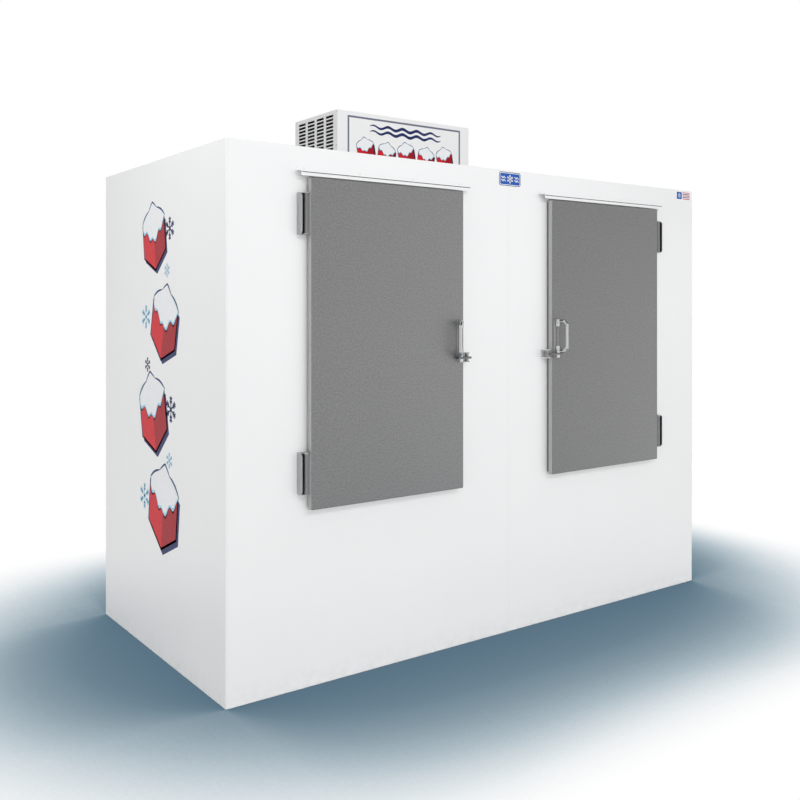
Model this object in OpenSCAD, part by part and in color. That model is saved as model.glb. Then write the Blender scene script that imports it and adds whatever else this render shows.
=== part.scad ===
// Outdoor ice merchandiser: an insulated cabinet with two doors and a condensing unit on its roof.
// Millimetres. +X is to the right, +Y to the back, +Z up.
// The origin is the centre of the cabinet's footprint, on the ground.

/* [Cabinet] */
// Overall width of the cabinet
cab_w = 2388; // [2300:1:2500]
// Overall depth of the cabinet, without its doors
cab_d = 1150; // [1050:1:1250]
// Overall height of the cabinet, without the condensing unit
cab_h = 1829; // [1800:1:1950]
// Thickness of a wall, from its outer skin to its liner
wall_t = 64; // [58:1:76]
// Thickness of the floor, from the ground to the liner
floor_t = 76; // [66:1:90]
// Thickness of the outer steel sheets
skin_t = 1.2; // [0.8:0.1:2]
// Thickness of the inner liner
liner_t = 1; // [0.6:0.1:2]
// Outer bend radius of the upright corners
corner_r = 4; // [3:0.5:8]
// Distance that the front sheets' seam lies to the right of the middle
seam_off = 25; // [0:1:45]
// Height of the outer sheets' lower edge above the ground
sheet_lift = 2; // [1:0.5:4]
// Thickness of the base pan
base_t = 2; // [1.5:0.1:3]
// Height of the base pan's upturned edge
base_edge = 40; // [25:1:60]

/* [Doors] */
// Width of a door
door_w = 665; // [640:1:690]
// Height of a door
door_h = 1120; // [1080:1:1130]
// Distance from the cabinet's side to a door's hinge edge
door_side = 295; // [270:1:320]
// Distance from the cabinet's top to a door's upper edge
door_head = 104; // [90:1:130]
// Distance that a door's face stands in front of the cabinet
door_proud = 34; // [32:0.5:37]
// Depth of the door pan's rim
pan_depth = 20; // [18:0.5:24]
// Thickness of the door pan's sheet
pan_t = 1.2; // [0.8:0.1:1.6]
// Radius of a door's four corners
door_corner_r = 7; // [5:0.5:12]
// Radius along the edges of a door's face
door_edge_r = 4; // [3:0.5:6]
// Distance that a door laps over each edge of its opening
door_lap = 32; // [30:1:36]
// Gap all round between a door's plug and its opening
plug_gap = 14; // [11:0.5:18]
// Depth that a door's plug reaches into the wall
plug_depth = 40; // [30:1:48]
// Thickness of a door's inner liner
door_liner_t = 1.5; // [1:0.1:2.5]
// Thickness of the breaker frame that lines an opening
frame_t = 3; // [2:0.5:4]
// Width of the breaker frame's front flange
flange_w = 26; // [23:0.5:27]
// Thickness of the breaker frame's front flange
flange_t = 1.5; // [1:0.1:2]
// Width of the door gasket
gasket_w = 20; // [16:0.5:22]
// Distance from a door's edge to its gasket
gasket_inset = 6; // [4:0.5:8]

/* [Drip rails] */
// Length of a drip rail
rail_len = 745; // [700:1:800]
// Distance that a drip rail starts to the left of its door
rail_overhang = 39; // [10:1:45]
// Height of a drip rail's upper edge above its door
rail_rise = 37; // [35:1:44]
// Height of the flange that is screwed to the cabinet
rail_flange = 15; // [13:1:23]
// Distance that a drip rail stands out
rail_out = 36; // [25:1:45]
// Fall of a drip rail's shelf
rail_fall = 5; // [3:0.5:8]
// Sheet thickness of a drip rail
rail_t = 1.5; // [1:0.1:2]
// Number of screws in a drip rail
rail_screws = 4; // [2:1:6]

/* [Hinges] */
// Height of a hinge
hinge_h = 140; // [120:1:150]
// Distance from a door's end to the middle of its hinge
hinge_inset = 124; // [100:1:160]
// Distance from a door's edge to the outer face of the hinge bracket
hinge_reach = 35.5; // [30:0.5:38]
// Sheet thickness of the hinge parts
hinge_t = 2.5; // [2:0.1:3]
// Corner radius of the hinge bracket
hinge_corner_r = 12; // [6:0.5:16]
// Diameter of a hinge pin
pin_d = 8; // [6:0.5:9]
// Distance from a door's edge to its hinge pin
pin_side = 15; // [14:0.25:17]
// Distance from a door's face back to its hinge pin
pin_set = 8; // [7:0.25:10]
// Outer diameter of the barrel on a hinge pin
barrel_d = 15; // [13:0.5:16]

/* [Latches] */
// Height of a latch base
latch_h = 156; // [140:1:170]
// Distance that a latch's middle lies below the door's middle
latch_drop = 6; // [0:1:30]
// Width of a latch base
latch_w = 26; // [24:1:32]
// Thickness of a latch base
latch_t = 3; // [2:0.5:4]
// Distance from a door's free edge to its latch base
latch_edge = 8; // [6:0.5:9]
// Distance from a door's free edge to the latch pin
latch_pin_side = 22; // [20:0.5:25]
// Distance from a door's face to the latch pin
latch_pin_out = 12; // [12:0.5:15]
// Diameter of the latch pin
latch_pin_d = 8; // [6:0.5:8]
// Diameter of the latch hubs
hub_d = 18; // [15:0.5:20]
// Height of each of the two blocks that guide the bolt
block_h = 12; // [10:0.5:14]
// Distance from the latch pin to the middle of the grip, along the door
grip_in = 25.5; // [24:0.5:36]
// Distance from the latch pin to the middle of the grip, out from the door
grip_out = 25.5; // [24:0.5:36]
// Diameter of the grip
grip_d = 15; // [9:0.5:16]
// Size of the cut corners between the grip and its arms
grip_corner = 13; // [8:0.5:18]
// Height of the bolt bar
bolt_h = 7.4; // [6:0.2:8]
// Distance that the bolt reaches past the door's edge
bolt_reach = 24; // [22:0.5:26]
// Length of the bolt behind the door's edge
bolt_tail = 40; // [38:1:46]
// Distance that the bolt draws back
bolt_travel = 14; // [10:0.5:14]
// Width of a strike
strike_w = 25; // [24:0.5:30]
// Height of a strike
strike_h = 35; // [33:1:42]
// Thickness of a strike's plates
strike_t = 3; // [2:0.5:4]
// Gap between a door's edge and its strike
strike_gap = 6; // [4:0.5:8]
// Diameter of the strike's roller
roller_d = 14; // [12:0.5:16]

/* [Condensing unit housing] */
// Width of the housing
unit_w = 733; // [720:1:800]
// Depth of the housing
unit_d = 360; // [350:1:420]
// Height of the housing
unit_h = 304; // [285:1:340]
// Distance from the housing's back to the cabinet's back
unit_back = 144; // [130:1:190]
// Sheet thickness of the housing
unit_t = 1.2; // [0.8:0.1:1.6]
// Number of louvre columns in each side
louvre_cols = 4; // [3:1:5]
// Number of louvre rows in each side
louvre_rows = 15; // [8:1:15]
// Height of a louvre slot
slot_h = 8; // [5:0.5:9]
// Height from one louvre slot to the next
slot_pitch = 15.7; // [12:0.1:16]
// Width of the plain strip between louvre columns
slot_land = 19; // [12:1:24]
// Distance from the louvres to the housing's front and back
slot_margin = 34; // [25:1:45]
// Distance from the housing's top to the first louvre slot
slot_top = 18; // [14:1:26]

/* [Machinery] */
// Diameter of the condenser fan
fan_d = 190; // [160:1:200]
// Thickness of the condenser coil
cond_t = 44; // [36:1:50]
// Diameter of the compressor's shell
comp_d = 160; // [140:1:164]
// Height of the compressor's shell
comp_h = 175; // [150:1:185]
// Diameter of the liquid receiver
recv_d = 76; // [60:1:80]
// Height of the liquid receiver
recv_h = 150; // [120:1:170]
// Diameter of the refrigerant lines
line_d = 10; // [8:0.5:12]
// Diameter of the control knob
knob_d = 34; // [26:1:40]

/* [Inside] */
// Width of the evaporator housing
evap_w = 860; // [820:1:900]
// Depth of the evaporator housing
evap_d = 300; // [280:1:320]
// Height of the evaporator housing
evap_h = 200; // [190:1:230]
// Gap behind the evaporator housing
evap_back = 20; // [12:1:30]
// Sheet thickness of the evaporator housing
evap_t = 1.5; // [1:0.1:2]
// Diameter of an evaporator fan
blower_d = 170; // [140:1:175]
// Distance between the two evaporator fans
blower_span = 380; // [340:5:400]
// Height of the floor rack
rack_h = 37; // [30:1:45]
// Width of a rack slat
slat_w = 60; // [40:1:70]
// Number of slats in each rack
slats = 9; // [7:1:10]
// Outer diameter of the drain tube
drain_d = 22; // [18:1:26]

/* [Hidden] */
$fn = 48;

// Clearances: a shaft in its hole, faces that slide or nearly touch, and how far a cut overshoots.
shaft_play = 0.05;
slide_play = 0.3;
cut = 1;

// Planes of the cabinet.
side_x = cab_w / 2;
front_y = -cab_d / 2;
back_y = cab_d / 2;
sheet_top = cab_h - skin_t;
inner_x = side_x - wall_t;
inner_front = front_y + wall_t;
inner_back = back_y - wall_t;
ceiling_z = cab_h - wall_t;

// The left door's edges. The right door is its mirror image.
door_x0 = -side_x + door_side;
door_x1 = door_x0 + door_w;
door_z1 = cab_h - door_head;
door_z0 = door_z1 - door_h;
door_y = front_y - door_proud;
pan_back = door_y + pan_depth;
open_x0 = door_x0 + door_lap;
open_x1 = door_x1 - door_lap;
open_z0 = door_z0 + door_lap;
open_z1 = door_z1 - door_lap;

// Screws that fasten the hinges and rails.
screw_head_d = 9;
screw_head_h = 1.6;

// Drip rails: the left end of each, and the height of its flange and screws.
rail_starts = [door_x0 - rail_overhang, -door_x1 - rail_overhang];
rail_z1 = door_z1 + rail_rise;
rail_z0 = rail_z1 - rail_flange;
rail_screw_z = rail_z1 - 7;
rail_screw_inset = 30;

// Hinges: the pin's axis, and the middle height of each hinge.
pin_x = door_x0 - pin_side;
pin_y = door_y + pin_set;
hinge_z = [door_z0 + hinge_inset, door_z1 - hinge_inset];
hinge_x = door_x0 - hinge_reach;
bracket_y = door_y + hinge_t / 2;
ear_t = hinge_t;
ear_gap = 1.5;
ear_r = pin_side - hinge_t - ear_gap;
barrel_z = hinge_h / 2 - ear_t - slide_play;

// Latches: heights of the blocks, bolt and hubs.
latch_z0 = (door_z0 + door_z1 - latch_h) / 2 - latch_drop;
latch_z1 = latch_z0 + latch_h;
latch_x = door_x1 - latch_pin_side;
latch_y = door_y - latch_pin_out;
bolt_z0 = latch_z0 + block_h + slide_play;
hub_z0 = bolt_z0 + bolt_h + slide_play;
hub_h = grip_d + 1;
block_z = hub_z0 + hub_h + slide_play;
top_hub_z = latch_z1 - hub_h;
top_ear_z = top_hub_z - slide_play - block_h;
grip_z0 = hub_z0 + hub_h / 2;
grip_z1 = latch_z1 - hub_h / 2;
grip_angle = atan2(-grip_out, -grip_in);
grip_run = norm([grip_in, grip_out]);
bolt_y = door_y - latch_t - slide_play;
bolt_w = 2 * (latch_pin_out - latch_t - slide_play);
bolt_slot = latch_pin_d + 2 * slide_play;

// Strikes: beside the bolt's nose, which passes in front of the roller.
strike_x0 = door_x1 + strike_gap;
strike_x1 = strike_x0 + strike_w;
strike_z = bolt_z0 + bolt_h / 2;
roller_x = (strike_x0 + strike_x1) / 2;
roller_y = bolt_y + slide_play + roller_d / 2;
roller_pin_d = 5;
roller_end = strike_h / 2 - strike_t;

// The condensing unit's housing and the tray that it stands on.
unit_x = unit_w / 2;
unit_y1 = back_y - unit_back;
unit_y0 = unit_y1 - unit_d;
unit_yc = (unit_y0 + unit_y1) / 2;
unit_z1 = cab_h + unit_h;
tray_t = 1.5;
tray_edge = 18;
tray_z = cab_h + tray_t;
slot_span = unit_d - 2 * slot_margin;
slot_w = (slot_span - (louvre_cols - 1) * slot_land) / louvre_cols;

// Condenser coil, from the housing's left side inwards.
cond_gap = 12;
cond_end_gap = 30;
cond_top_gap = 48;
header_d = 12;
header_out = 13;
header_foot = 34;
header_head = 16;
cond_x0 = -unit_x + unit_t + cond_gap;
cond_x1 = cond_x0 + cond_t;
cond_xc = (cond_x0 + cond_x1) / 2;
cond_y0 = unit_y0 + cond_end_gap;
cond_y1 = unit_y1 - cond_end_gap;
cond_z1 = unit_z1 - cond_top_gap;
header_y = cond_y0 - header_out;
header_z0 = tray_z + header_foot;
header_z1 = cond_z1 - header_head;

// Condenser fan, half inside the ring of its shroud, and its motor.
shroud_depth = 40;
shroud_t = 1.5;
shroud_x1 = cond_x1 + shroud_depth;
fan_z = (tray_z + cond_z1) / 2;
fan_gap = 6;
fan_len = 26;
fan_x0 = shroud_x1 - fan_len / 2;
fan_hub_d = 44;
fan_shaft_d = 8;
shaft_reach = fan_len - 3;
motor_gap = 30;
motor_d = 76;
motor_len = 62;
motor_x0 = shroud_x1 + motor_gap;

// Compressor on its mounts, with two stubs on top, and the receiver beside it.
comp_x = 95;
mount_h = 14;
mount_d = 24;
comp_plate = comp_d + 20;
comp_plate_t = 4;
comp_z = tray_z + mount_h + comp_plate_t;
comp_top = comp_z + comp_h;
comp_port = 26;
stub_h = 10;
recv_gap = 30;
recv_set = 50;
recv_x = comp_x + comp_d / 2 + recv_gap + recv_d / 2;
recv_y = unit_y0 + recv_set + recv_d / 2;
recv_top = tray_z + recv_h;
recv_port = 18;

// Control box, left of the compressor, with the knob on its lid.
box_w = 120;
box_d = 70;
box_h = 140;
box_gap = 20;
box_set = 48;
box_lid = 2;
box_x0 = comp_x - comp_plate / 2 - box_gap - box_w;
box_y0 = unit_y0 + box_set;
knob_x = box_x0 + box_w / 2;
knob_z = tray_z + 95;
knob_h = 16;
knob_shaft_d = 6;
knob_shaft_h = 12;

// The gland that the supply cord goes in by, in the housing's back.
gland_z = cab_h + 60;
gland_d = 20;
gland_bore = 11;
nut_d = gland_d + 9;

// Evaporator housing, hung from the ceiling at the back.
evap_y1 = inner_back - evap_back;
evap_y0 = evap_y1 - evap_d;
evap_z1 = ceiling_z;
evap_z0 = evap_z1 - evap_h;
evap_zc = (evap_z0 + evap_z1) / 2;
evap_x = evap_w / 2;

// Evaporator fans and motors, from the housing's front inwards. The fans sit left of the middle.
blower_left = 40;
blower_x = [-blower_span / 2 - blower_left, blower_span / 2 - blower_left];
blower_set = 8;
blower_len = 24;
blower_gap = 6;
blower_hub_d = 36;
blower_motor_gap = 14;
blower_motor_d = 56;
blower_motor_len = 46;
blower_y0 = evap_y0 + blower_set;
blower_motor_y = blower_y0 + blower_len + blower_motor_gap;

// The pair of lines that runs down through the roof, and the hole round them.
drop_in = 50;
drop_from_back = 58;
drop_pitch = 22;
drop_room = 8;
drop_x = unit_x - unit_t - drop_in;
drop_y = unit_y1 - drop_from_back;
drop_hole_d = drop_pitch + line_d + 2 * drop_room;
bend = 12;
line_top = unit_z1 - 22;
line_low = tray_z + line_d / 2 + 4;
drier_z = line_top - 10;

// The filter drier, in the liquid line behind the receiver.
drier_d = 40;
drier_len = 90;
drier_gap = 34;
drier_y0 = recv_y + drier_gap;
drier_y1 = drier_y0 + drier_len;

// Evaporator coil, beside the pair of lines.
coil_y0 = blower_motor_y + blower_motor_len + 24;
coil_y1 = evap_y1 - 22;
coil_x0 = -evap_x + 45;
coil_x1 = drop_x - 22;
coil_z1 = evap_z1 - 34;
coil_port_z = coil_z1 - 20;

// Drain tube, down the back wall and out through it.
drain_bend = drain_d / 2 + 1;
drain_x = evap_x - 40;
drain_y = inner_back - drain_d / 2 - slide_play;
drain_exit = floor_t + 90;
drain_start_y = evap_y1 - 30;
drain_turn = evap_z0 - 30 - drain_d;

// ---------- helpers ----------

// A box between two corners.
module span(a, b) {
    translate(a) cube(b - a);
}

// A rectangle with four round corners.
module round_rect(x0, x1, y0, y1, r) {
    translate([x0 + r, y0]) square([x1 - x0 - 2 * r, y1 - y0]);
    translate([x0, y0 + r]) square([x1 - x0, y1 - y0 - 2 * r]);
    for (x = [x0 + r, x1 - r], y = [y0 + r, y1 - r]) translate([x, y]) circle(r);
}

// A rectangle whose two corners at y0 are round.
module round_front(x0, x1, y0, y1, r) {
    translate([x0 + r, y0]) square([x1 - x0 - 2 * r, y1 - y0]);
    translate([x0, y0 + r]) square([x1 - x0, y1 - y0 - r]);
    for (x = [x0 + r, x1 - r]) translate([x, y0 + r]) circle(r);
}

// Extrudes an outline drawn in X and Z from y0 to y1.
module plate_xz(y0, y1) {
    translate([0, y1, 0]) rotate([90, 0, 0]) linear_extrude(y1 - y0) children();
}

// Extrudes an outline drawn in Y and Z from x0 to x1.
module plate_yz(x0, x1) {
    translate([x0, 0, 0]) rotate([90, 0, 90]) linear_extrude(x1 - x0) children();
}

// Extrudes an outline drawn in X and Y from z0 to z1.
module plate_xy(z0, z1) {
    translate([0, 0, z0]) linear_extrude(z1 - z0) children();
}

// A cylinder along Y from y0 to y1.
module rod_y(x, y0, y1, z, d) {
    translate([x, y0, z]) rotate([-90, 0, 0]) cylinder(h = y1 - y0, d = d);
}

// A cylinder along X from x0 to x1.
module rod_x(x0, x1, y, z, d) {
    translate([x0, y, z]) rotate([0, 90, 0]) cylinder(h = x1 - x0, d = d);
}

// A cylinder along Z from z0 to z1.
module rod_z(x, y, z0, z1, d) {
    translate([x, y, z0]) cylinder(h = z1 - z0, d = d);
}

// A can with round shoulders, standing on z = 0.
module can(d, h, r) {
    rotate_extrude() intersection() {
        square([d, h]);
        round_rect(-d / 2, d / 2, 0, h, r);
    }
}

// The same piece for the left door and, mirrored, for the right one.
module both_doors() {
    children();
    mirror([1, 0, 0]) children();
}

function along(a, b) = (b - a) / norm(b - a);

// A direction square to d.
function square_to(d) = along([0, 0, 0], cross(abs(d[1]) > 0.9 ? [0, 0, 1] : [0, 1, 0], d));

// Places children in the frame with the given axes and origin.
module in_frame(x, y, o) {
    z = cross(x, y);
    multmatrix([
        [x[0], y[0], z[0], o[0]],
        [x[1], y[1], z[1], o[1]],
        [x[2], y[2], z[2], o[2]],
        [0, 0, 0, 1]
    ]) children();
}

// A round rod from a to b.
module rod(a, b, d) {
    u = along(a, b);
    x = square_to(u);
    in_frame(x, cross(u, x), a) cylinder(h = norm(b - a), d = d);
}

// A tube through points that follow the axes, with round bends of radius r.
module pipe(p, d, r) {
    last = len(p) - 1;
    for (i = [0 : last - 1]) {
        u = along(p[i], p[i + 1]);
        rod(p[i] + (i == 0 ? 0 : r) * u, p[i + 1] - (i + 1 == last ? 0 : r) * u, d);
    }
    for (i = [1 : last - 1]) {
        u = along(p[i - 1], p[i]);
        v = along(p[i], p[i + 1]);
        in_frame(-v, u, p[i] - r * u + r * v)
            rotate_extrude(angle = 90) translate([r, 0]) circle(d = d);
    }
}

// Flat pitched blades round a hub, along Z from 0 to h.
module fan_wheel(d, hub, h, bore) {
    blades = 5;
    pitch = 28;
    blade_t = 1.6;
    root = 2;
    difference() {
        union() {
            cylinder(h = h, d = hub);
            intersection() {
                cylinder(h = h, d = d);
                for (k = [0 : blades - 1])
                    rotate([0, 0, k * 360 / blades])
                        translate([hub / 2 - root, 0, h / 2])
                            rotate([pitch, 0, 0])
                                translate([0, -h, -blade_t / 2]) cube([d, 2 * h, blade_t]);
            }
        }
        translate([0, 0, -cut]) cylinder(h = h + 2 * cut, d = bore);
    }
}

// ---------- cabinet ----------

module base_pan() {
    lo = [-side_x + skin_t, front_y + skin_t, 0];
    hi = [side_x - skin_t, back_y - skin_t, base_edge];
    color("silver") difference() {
        plate_xy(0, base_edge) round_rect(lo[0], hi[0], lo[1], hi[1], corner_r);
        span(lo + [base_t, base_t, base_t], hi + [-base_t, -base_t, cut]);
    }
}

// A side sheet with its two bent corners, as an outline for the left side.
module side_outline() {
    translate([-side_x, front_y + corner_r]) square([skin_t, cab_d - 2 * corner_r]);
    for (s = [-1, 1]) intersection() {
        translate([-side_x + corner_r, s * (cab_d / 2 - corner_r)]) difference() {
            circle(corner_r);
            circle(corner_r - skin_t);
        }
        translate([-side_x, s > 0 ? back_y - corner_r : front_y]) square(corner_r);
    }
}

module left_side_panel() {
    color("white") plate_xy(sheet_lift, sheet_top) side_outline();
}

module right_side_panel() {
    color("white") mirror([1, 0, 0]) plate_xy(sheet_lift, sheet_top) side_outline();
}

module back_panel() {
    color("white") difference() {
        span([-side_x + corner_r, back_y - skin_t, sheet_lift], [side_x - corner_r, back_y, sheet_top]);
        drain_hole();
    }
}

module roof_panel() {
    color("white") difference() {
        plate_xy(sheet_top, cab_h) round_rect(-side_x, side_x, front_y, back_y, corner_r);
        drop_hole();
    }
}

// The hole for a breaker frame, through the whole front wall.
module frame_hole() {
    span(
        [open_x0 - frame_t, front_y - cut, open_z0 - frame_t],
        [open_x1 + frame_t, inner_front + cut, open_z1 + frame_t]
    );
}

module front_sheet_left() {
    color("white") difference() {
        span([-side_x + corner_r, front_y, sheet_lift], [seam_off, front_y + skin_t, sheet_top]);
        frame_hole();
    }
}

module front_sheet_right() {
    color("white") difference() {
        span([seam_off, front_y, sheet_lift], [side_x - corner_r, front_y + skin_t, sheet_top]);
        mirror([1, 0, 0]) frame_hole();
    }
}

// The hole in the roof that the refrigerant lines go through.
module drop_hole() {
    rod_z(drop_x, drop_y, ceiling_z - cut, tray_z + cut, drop_hole_d);
}

// The hole in the back wall that the drain tube goes through.
module drain_hole() {
    rod_y(drain_x, inner_back - cut, back_y + cut, drain_exit, drain_d + 2 * slide_play);
}

module insulation_boards() {
    board_in = wall_t - liner_t;
    color("khaki") {
        for (s = [0, 1]) mirror([s, 0, 0]) span(
            [-side_x + skin_t, front_y + board_in, base_edge],
            [-side_x + board_in, back_y - board_in, sheet_top]
        );
        difference() {
            span(
                [-side_x + corner_r, back_y - board_in, base_edge],
                [side_x - corner_r, back_y - skin_t, sheet_top]
            );
            drain_hole();
        }
        difference() {
            span(
                [-side_x + board_in, front_y + board_in, ceiling_z + liner_t],
                [side_x - board_in, back_y - board_in, sheet_top]
            );
            drop_hole();
        }
        span(
            [-side_x + board_in, front_y + board_in, base_t],
            [side_x - board_in, back_y - board_in, floor_t - liner_t]
        );
    }
}

module insulation_front() {
    color("khaki") difference() {
        span(
            [-side_x + corner_r, front_y + skin_t, base_edge],
            [side_x - corner_r, inner_front - liner_t, sheet_top]
        );
        both_doors() frame_hole();
    }
}

module inner_liner() {
    lo = [-inner_x, inner_front, floor_t];
    hi = [inner_x, inner_back, ceiling_z];
    wall = [liner_t, liner_t, liner_t];
    color("gainsboro") difference() {
        span(lo - wall, hi + wall);
        span(lo, hi);
        both_doors() frame_hole();
        drop_hole();
        drain_hole();
    }
}

module opening_frames() {
    color("dimgray") both_doors() difference() {
        union() {
            span(
                [open_x0 - frame_t, front_y, open_z0 - frame_t],
                [open_x1 + frame_t, inner_front, open_z1 + frame_t]
            );
            plate_xz(front_y - flange_t, front_y) round_rect(
                open_x0 - flange_w, open_x1 + flange_w,
                open_z0 - flange_w, open_z1 + flange_w, door_corner_r
            );
        }
        span([open_x0, front_y - flange_t - cut, open_z0], [open_x1, inner_front + cut, open_z1]);
    }
}

module drip_rails() {
    lip_z = rail_z0 - rail_fall;
    back = front_y;
    color("white") for (x = rail_starts) plate_yz(x, x + rail_len) polygon([
        [back, rail_z1], [back - rail_t, rail_z1], [back - rail_t, rail_z0 + rail_t],
        [back - rail_out, lip_z + rail_t], [back - rail_out, lip_z - rail_t],
        [back - rail_out + rail_t, lip_z - rail_t], [back - rail_out + rail_t, lip_z],
        [back, rail_z0]
    ]);
}

// Places children at each drip rail screw.
module at_rail_screws() {
    step = (rail_len - 2 * rail_screw_inset) / (rail_screws - 1);
    for (x = rail_starts, k = [0 : rail_screws - 1])
        translate([x + rail_screw_inset + k * step, front_y - rail_t, rail_screw_z]) children();
}

// Places children at each hinge bracket's two screws.
module at_bracket_screws() {
    both_doors() for (z = hinge_z, s = [-1, 1])
        translate([pin_x, front_y - hinge_t, z + s * hinge_h / 4]) children();
}

module cabinet_screws() {
    color("silver") {
        at_rail_screws() rod_y(0, -screw_head_h, 0, 0, screw_head_d);
        at_bracket_screws() rod_y(0, -screw_head_h, 0, 0, screw_head_d);
    }
}

// Two racks of slats on runners, one in each half of the cabinet.
module floor_racks() {
    runners = 6;
    runner_w = 24;
    slat_t = 12;
    edge = 12;
    rack_w = inner_x - 1.5 * edge;
    rack_d = inner_back - inner_front - 2 * edge;
    color("silver") for (s = [0, 1]) mirror([s, 0, 0]) translate([edge / 2, inner_front + edge, floor_t]) {
        for (k = [0 : runners - 1])
            translate([k * (rack_w - runner_w) / (runners - 1), 0, 0])
                cube([runner_w, rack_d, rack_h - slat_t]);
        for (k = [0 : slats - 1])
            translate([0, k * (rack_d - slat_w) / (slats - 1), rack_h - slat_t])
                cube([rack_w, slat_w, slat_t]);
    }
}

module drain_tube() {
    color("whitesmoke") pipe([
        [drain_x, drain_start_y, evap_z0],
        [drain_x, drain_start_y, drain_turn],
        [drain_x, drain_y, drain_turn],
        [drain_x, drain_y, drain_exit],
        [drain_x, back_y, drain_exit]
    ], drain_d, drain_bend);
}

// ---------- hinges ----------

module hinge_bracket(z) {
    half = hinge_h / 2;
    difference() {
        union() {
            plate_yz(hinge_x, hinge_x + hinge_t) translate([0, z]) bracket_side(half);
            span([hinge_x, front_y - hinge_t, z - half], [pin_x + ear_r, front_y, z + half]);
            for (s = [-1, 1]) mirror_about(z, s) plate_xy(z + half - ear_t, z + half) {
                translate([hinge_x, bracket_y + hinge_corner_r])
                    square([pin_x + ear_r - hinge_x, front_y - bracket_y - hinge_corner_r]);
                translate([pin_x, pin_y]) circle(ear_r);
            }
        }
        rod_z(pin_x, pin_y, z - half - cut, z + half + cut, pin_d + 2 * shaft_play);
    }
}

// Keeps children, or mirrors them in the level plane at z.
module mirror_about(z, s) {
    translate([0, 0, z]) mirror([0, 0, s < 0 ? 1 : 0]) translate([0, 0, -z]) children();
}

// Outline in Y and Z of the bracket's outer leg, with round front corners.
module bracket_side(half) {
    r = hinge_corner_r;
    translate([bracket_y + r, -half]) square([front_y - bracket_y - r, 2 * half]);
    translate([bracket_y, -half + r]) square([front_y - bracket_y, 2 * (half - r)]);
    for (s = [-1, 1]) translate([bracket_y + r, s * (half - r)]) circle(r);
}

module hinge_brackets() {
    color("silver") both_doors() for (z = hinge_z) hinge_bracket(z);
}

module hinge_pins() {
    cap = 2;
    color("gray") both_doors() for (z = hinge_z) {
        rod_z(pin_x, pin_y, z - hinge_h / 2, z + hinge_h / 2, pin_d);
        rod_z(pin_x, pin_y, z + hinge_h / 2, z + hinge_h / 2 + cap, pin_d + 3);
    }
}

// A leaf on the door's edge for each hinge.
module hinge_leaves() {
    color("silver") for (z = hinge_z)
        span([door_x0 - hinge_t, door_y + door_edge_r, z - barrel_z], [door_x0, pan_back, z + barrel_z]);
}

// A sleeve round each pin, with a web to its leaf.
module hinge_barrels() {
    web_t = 6;
    color("dimgray") for (z = hinge_z) difference() {
        union() {
            rod_z(pin_x, pin_y, z - barrel_z, z + barrel_z, barrel_d);
            span(
                [pin_x, pin_y - web_t / 2, z - barrel_z],
                [door_x0 - hinge_t, pin_y + web_t / 2, z + barrel_z]
            );
        }
        rod_z(pin_x, pin_y, z - barrel_z - cut, z + barrel_z + cut, pin_d + 2 * shaft_play);
    }
}

// ---------- doors ----------

// The rounded body of a door, drawn in by inset, from its face back to y1.
module door_blank(inset, y1) {
    x0 = door_x0 + inset;
    x1 = door_x1 - inset;
    z0 = door_z0 + inset;
    z1 = door_z1 - inset;
    y0 = door_y + inset;
    edge_r = door_edge_r - inset;
    intersection() {
        plate_xz(y0, y1) round_rect(x0, x1, z0, z1, door_corner_r - inset);
        plate_xy(z0, z1) round_front(x0, x1, y0, y1, edge_r);
        plate_yz(x0, x1) mirror([1, -1]) round_front(z0, z1, y0, y1, edge_r);
    }
}

// The part of a door that fills its opening, drawn in by inset.
module door_plug(inset, y0) {
    gap = door_lap + plug_gap + inset;
    span(
        [door_x0 + gap, y0, door_z0 + gap],
        [door_x1 - gap, front_y + plug_depth - inset, door_z1 - gap]
    );
}

module door_pan() {
    color("gray") difference() {
        door_blank(0, pan_back);
        door_blank(pan_t, pan_back + cut);
    }
}

module door_core() {
    color("khaki") {
        door_blank(pan_t, pan_back);
        door_plug(door_liner_t, pan_back);
    }
}

module door_liner() {
    rim = 2;
    color("gainsboro") difference() {
        union() {
            plate_xz(pan_back, pan_back + door_liner_t)
                round_rect(door_x0 + rim, door_x1 - rim, door_z0 + rim, door_z1 - rim, door_corner_r - rim);
            door_plug(0, pan_back);
        }
        door_plug(door_liner_t, pan_back - cut);
    }
}

// A ring on the back of the door, with a fold all round like a bellows.
module door_gasket() {
    fold = 2.5;
    y0 = pan_back + door_liner_t;
    y1 = front_y - flange_t - slide_play;
    mid = (y0 + y1) / 2;
    out = gasket_inset;
    in = gasket_inset + gasket_w;
    color("dimgray") difference() {
        plate_xz(y0, y1) round_rect(
            door_x0 + out, door_x1 - out, door_z0 + out, door_z1 - out, door_corner_r);
        span([door_x0 + in, y0 - cut, door_z0 + in], [door_x1 - in, y1 + cut, door_z1 - in]);
        difference() {
            span([door_x0, mid - fold / 2, door_z0], [door_x1, mid + fold / 2, door_z1]);
            span(
                [door_x0 + out + fold, mid - fold, door_z0 + out + fold],
                [door_x1 - out - fold, mid + fold, door_z1 - out - fold]
            );
        }
    }
}

// ---------- latches ----------

// A latch block: as wide as the base, round at the pin.
module latch_block(z) {
    plate_xy(z, z + block_h) {
        translate([latch_x, latch_y]) circle(d = hub_d);
        translate([latch_x - hub_d / 2, latch_y]) square([hub_d, latch_pin_out]);
    }
}

module latch_base() {
    x1 = door_x1 - latch_edge;
    corner = 6;
    color("gainsboro") difference() {
        union() {
            plate_xz(door_y - latch_t, door_y) round_rect(x1 - latch_w, x1, latch_z0, latch_z1, corner);
            for (z = [latch_z0, block_z, top_ear_z]) latch_block(z);
        }
        rod_z(latch_x, latch_y, latch_z0 - cut, latch_z1 + cut, latch_pin_d + 2 * shaft_play);
    }
}

module latch_pin() {
    color("gray") rod_z(latch_x, latch_y, latch_z0, latch_z1, latch_pin_d);
}

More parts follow.
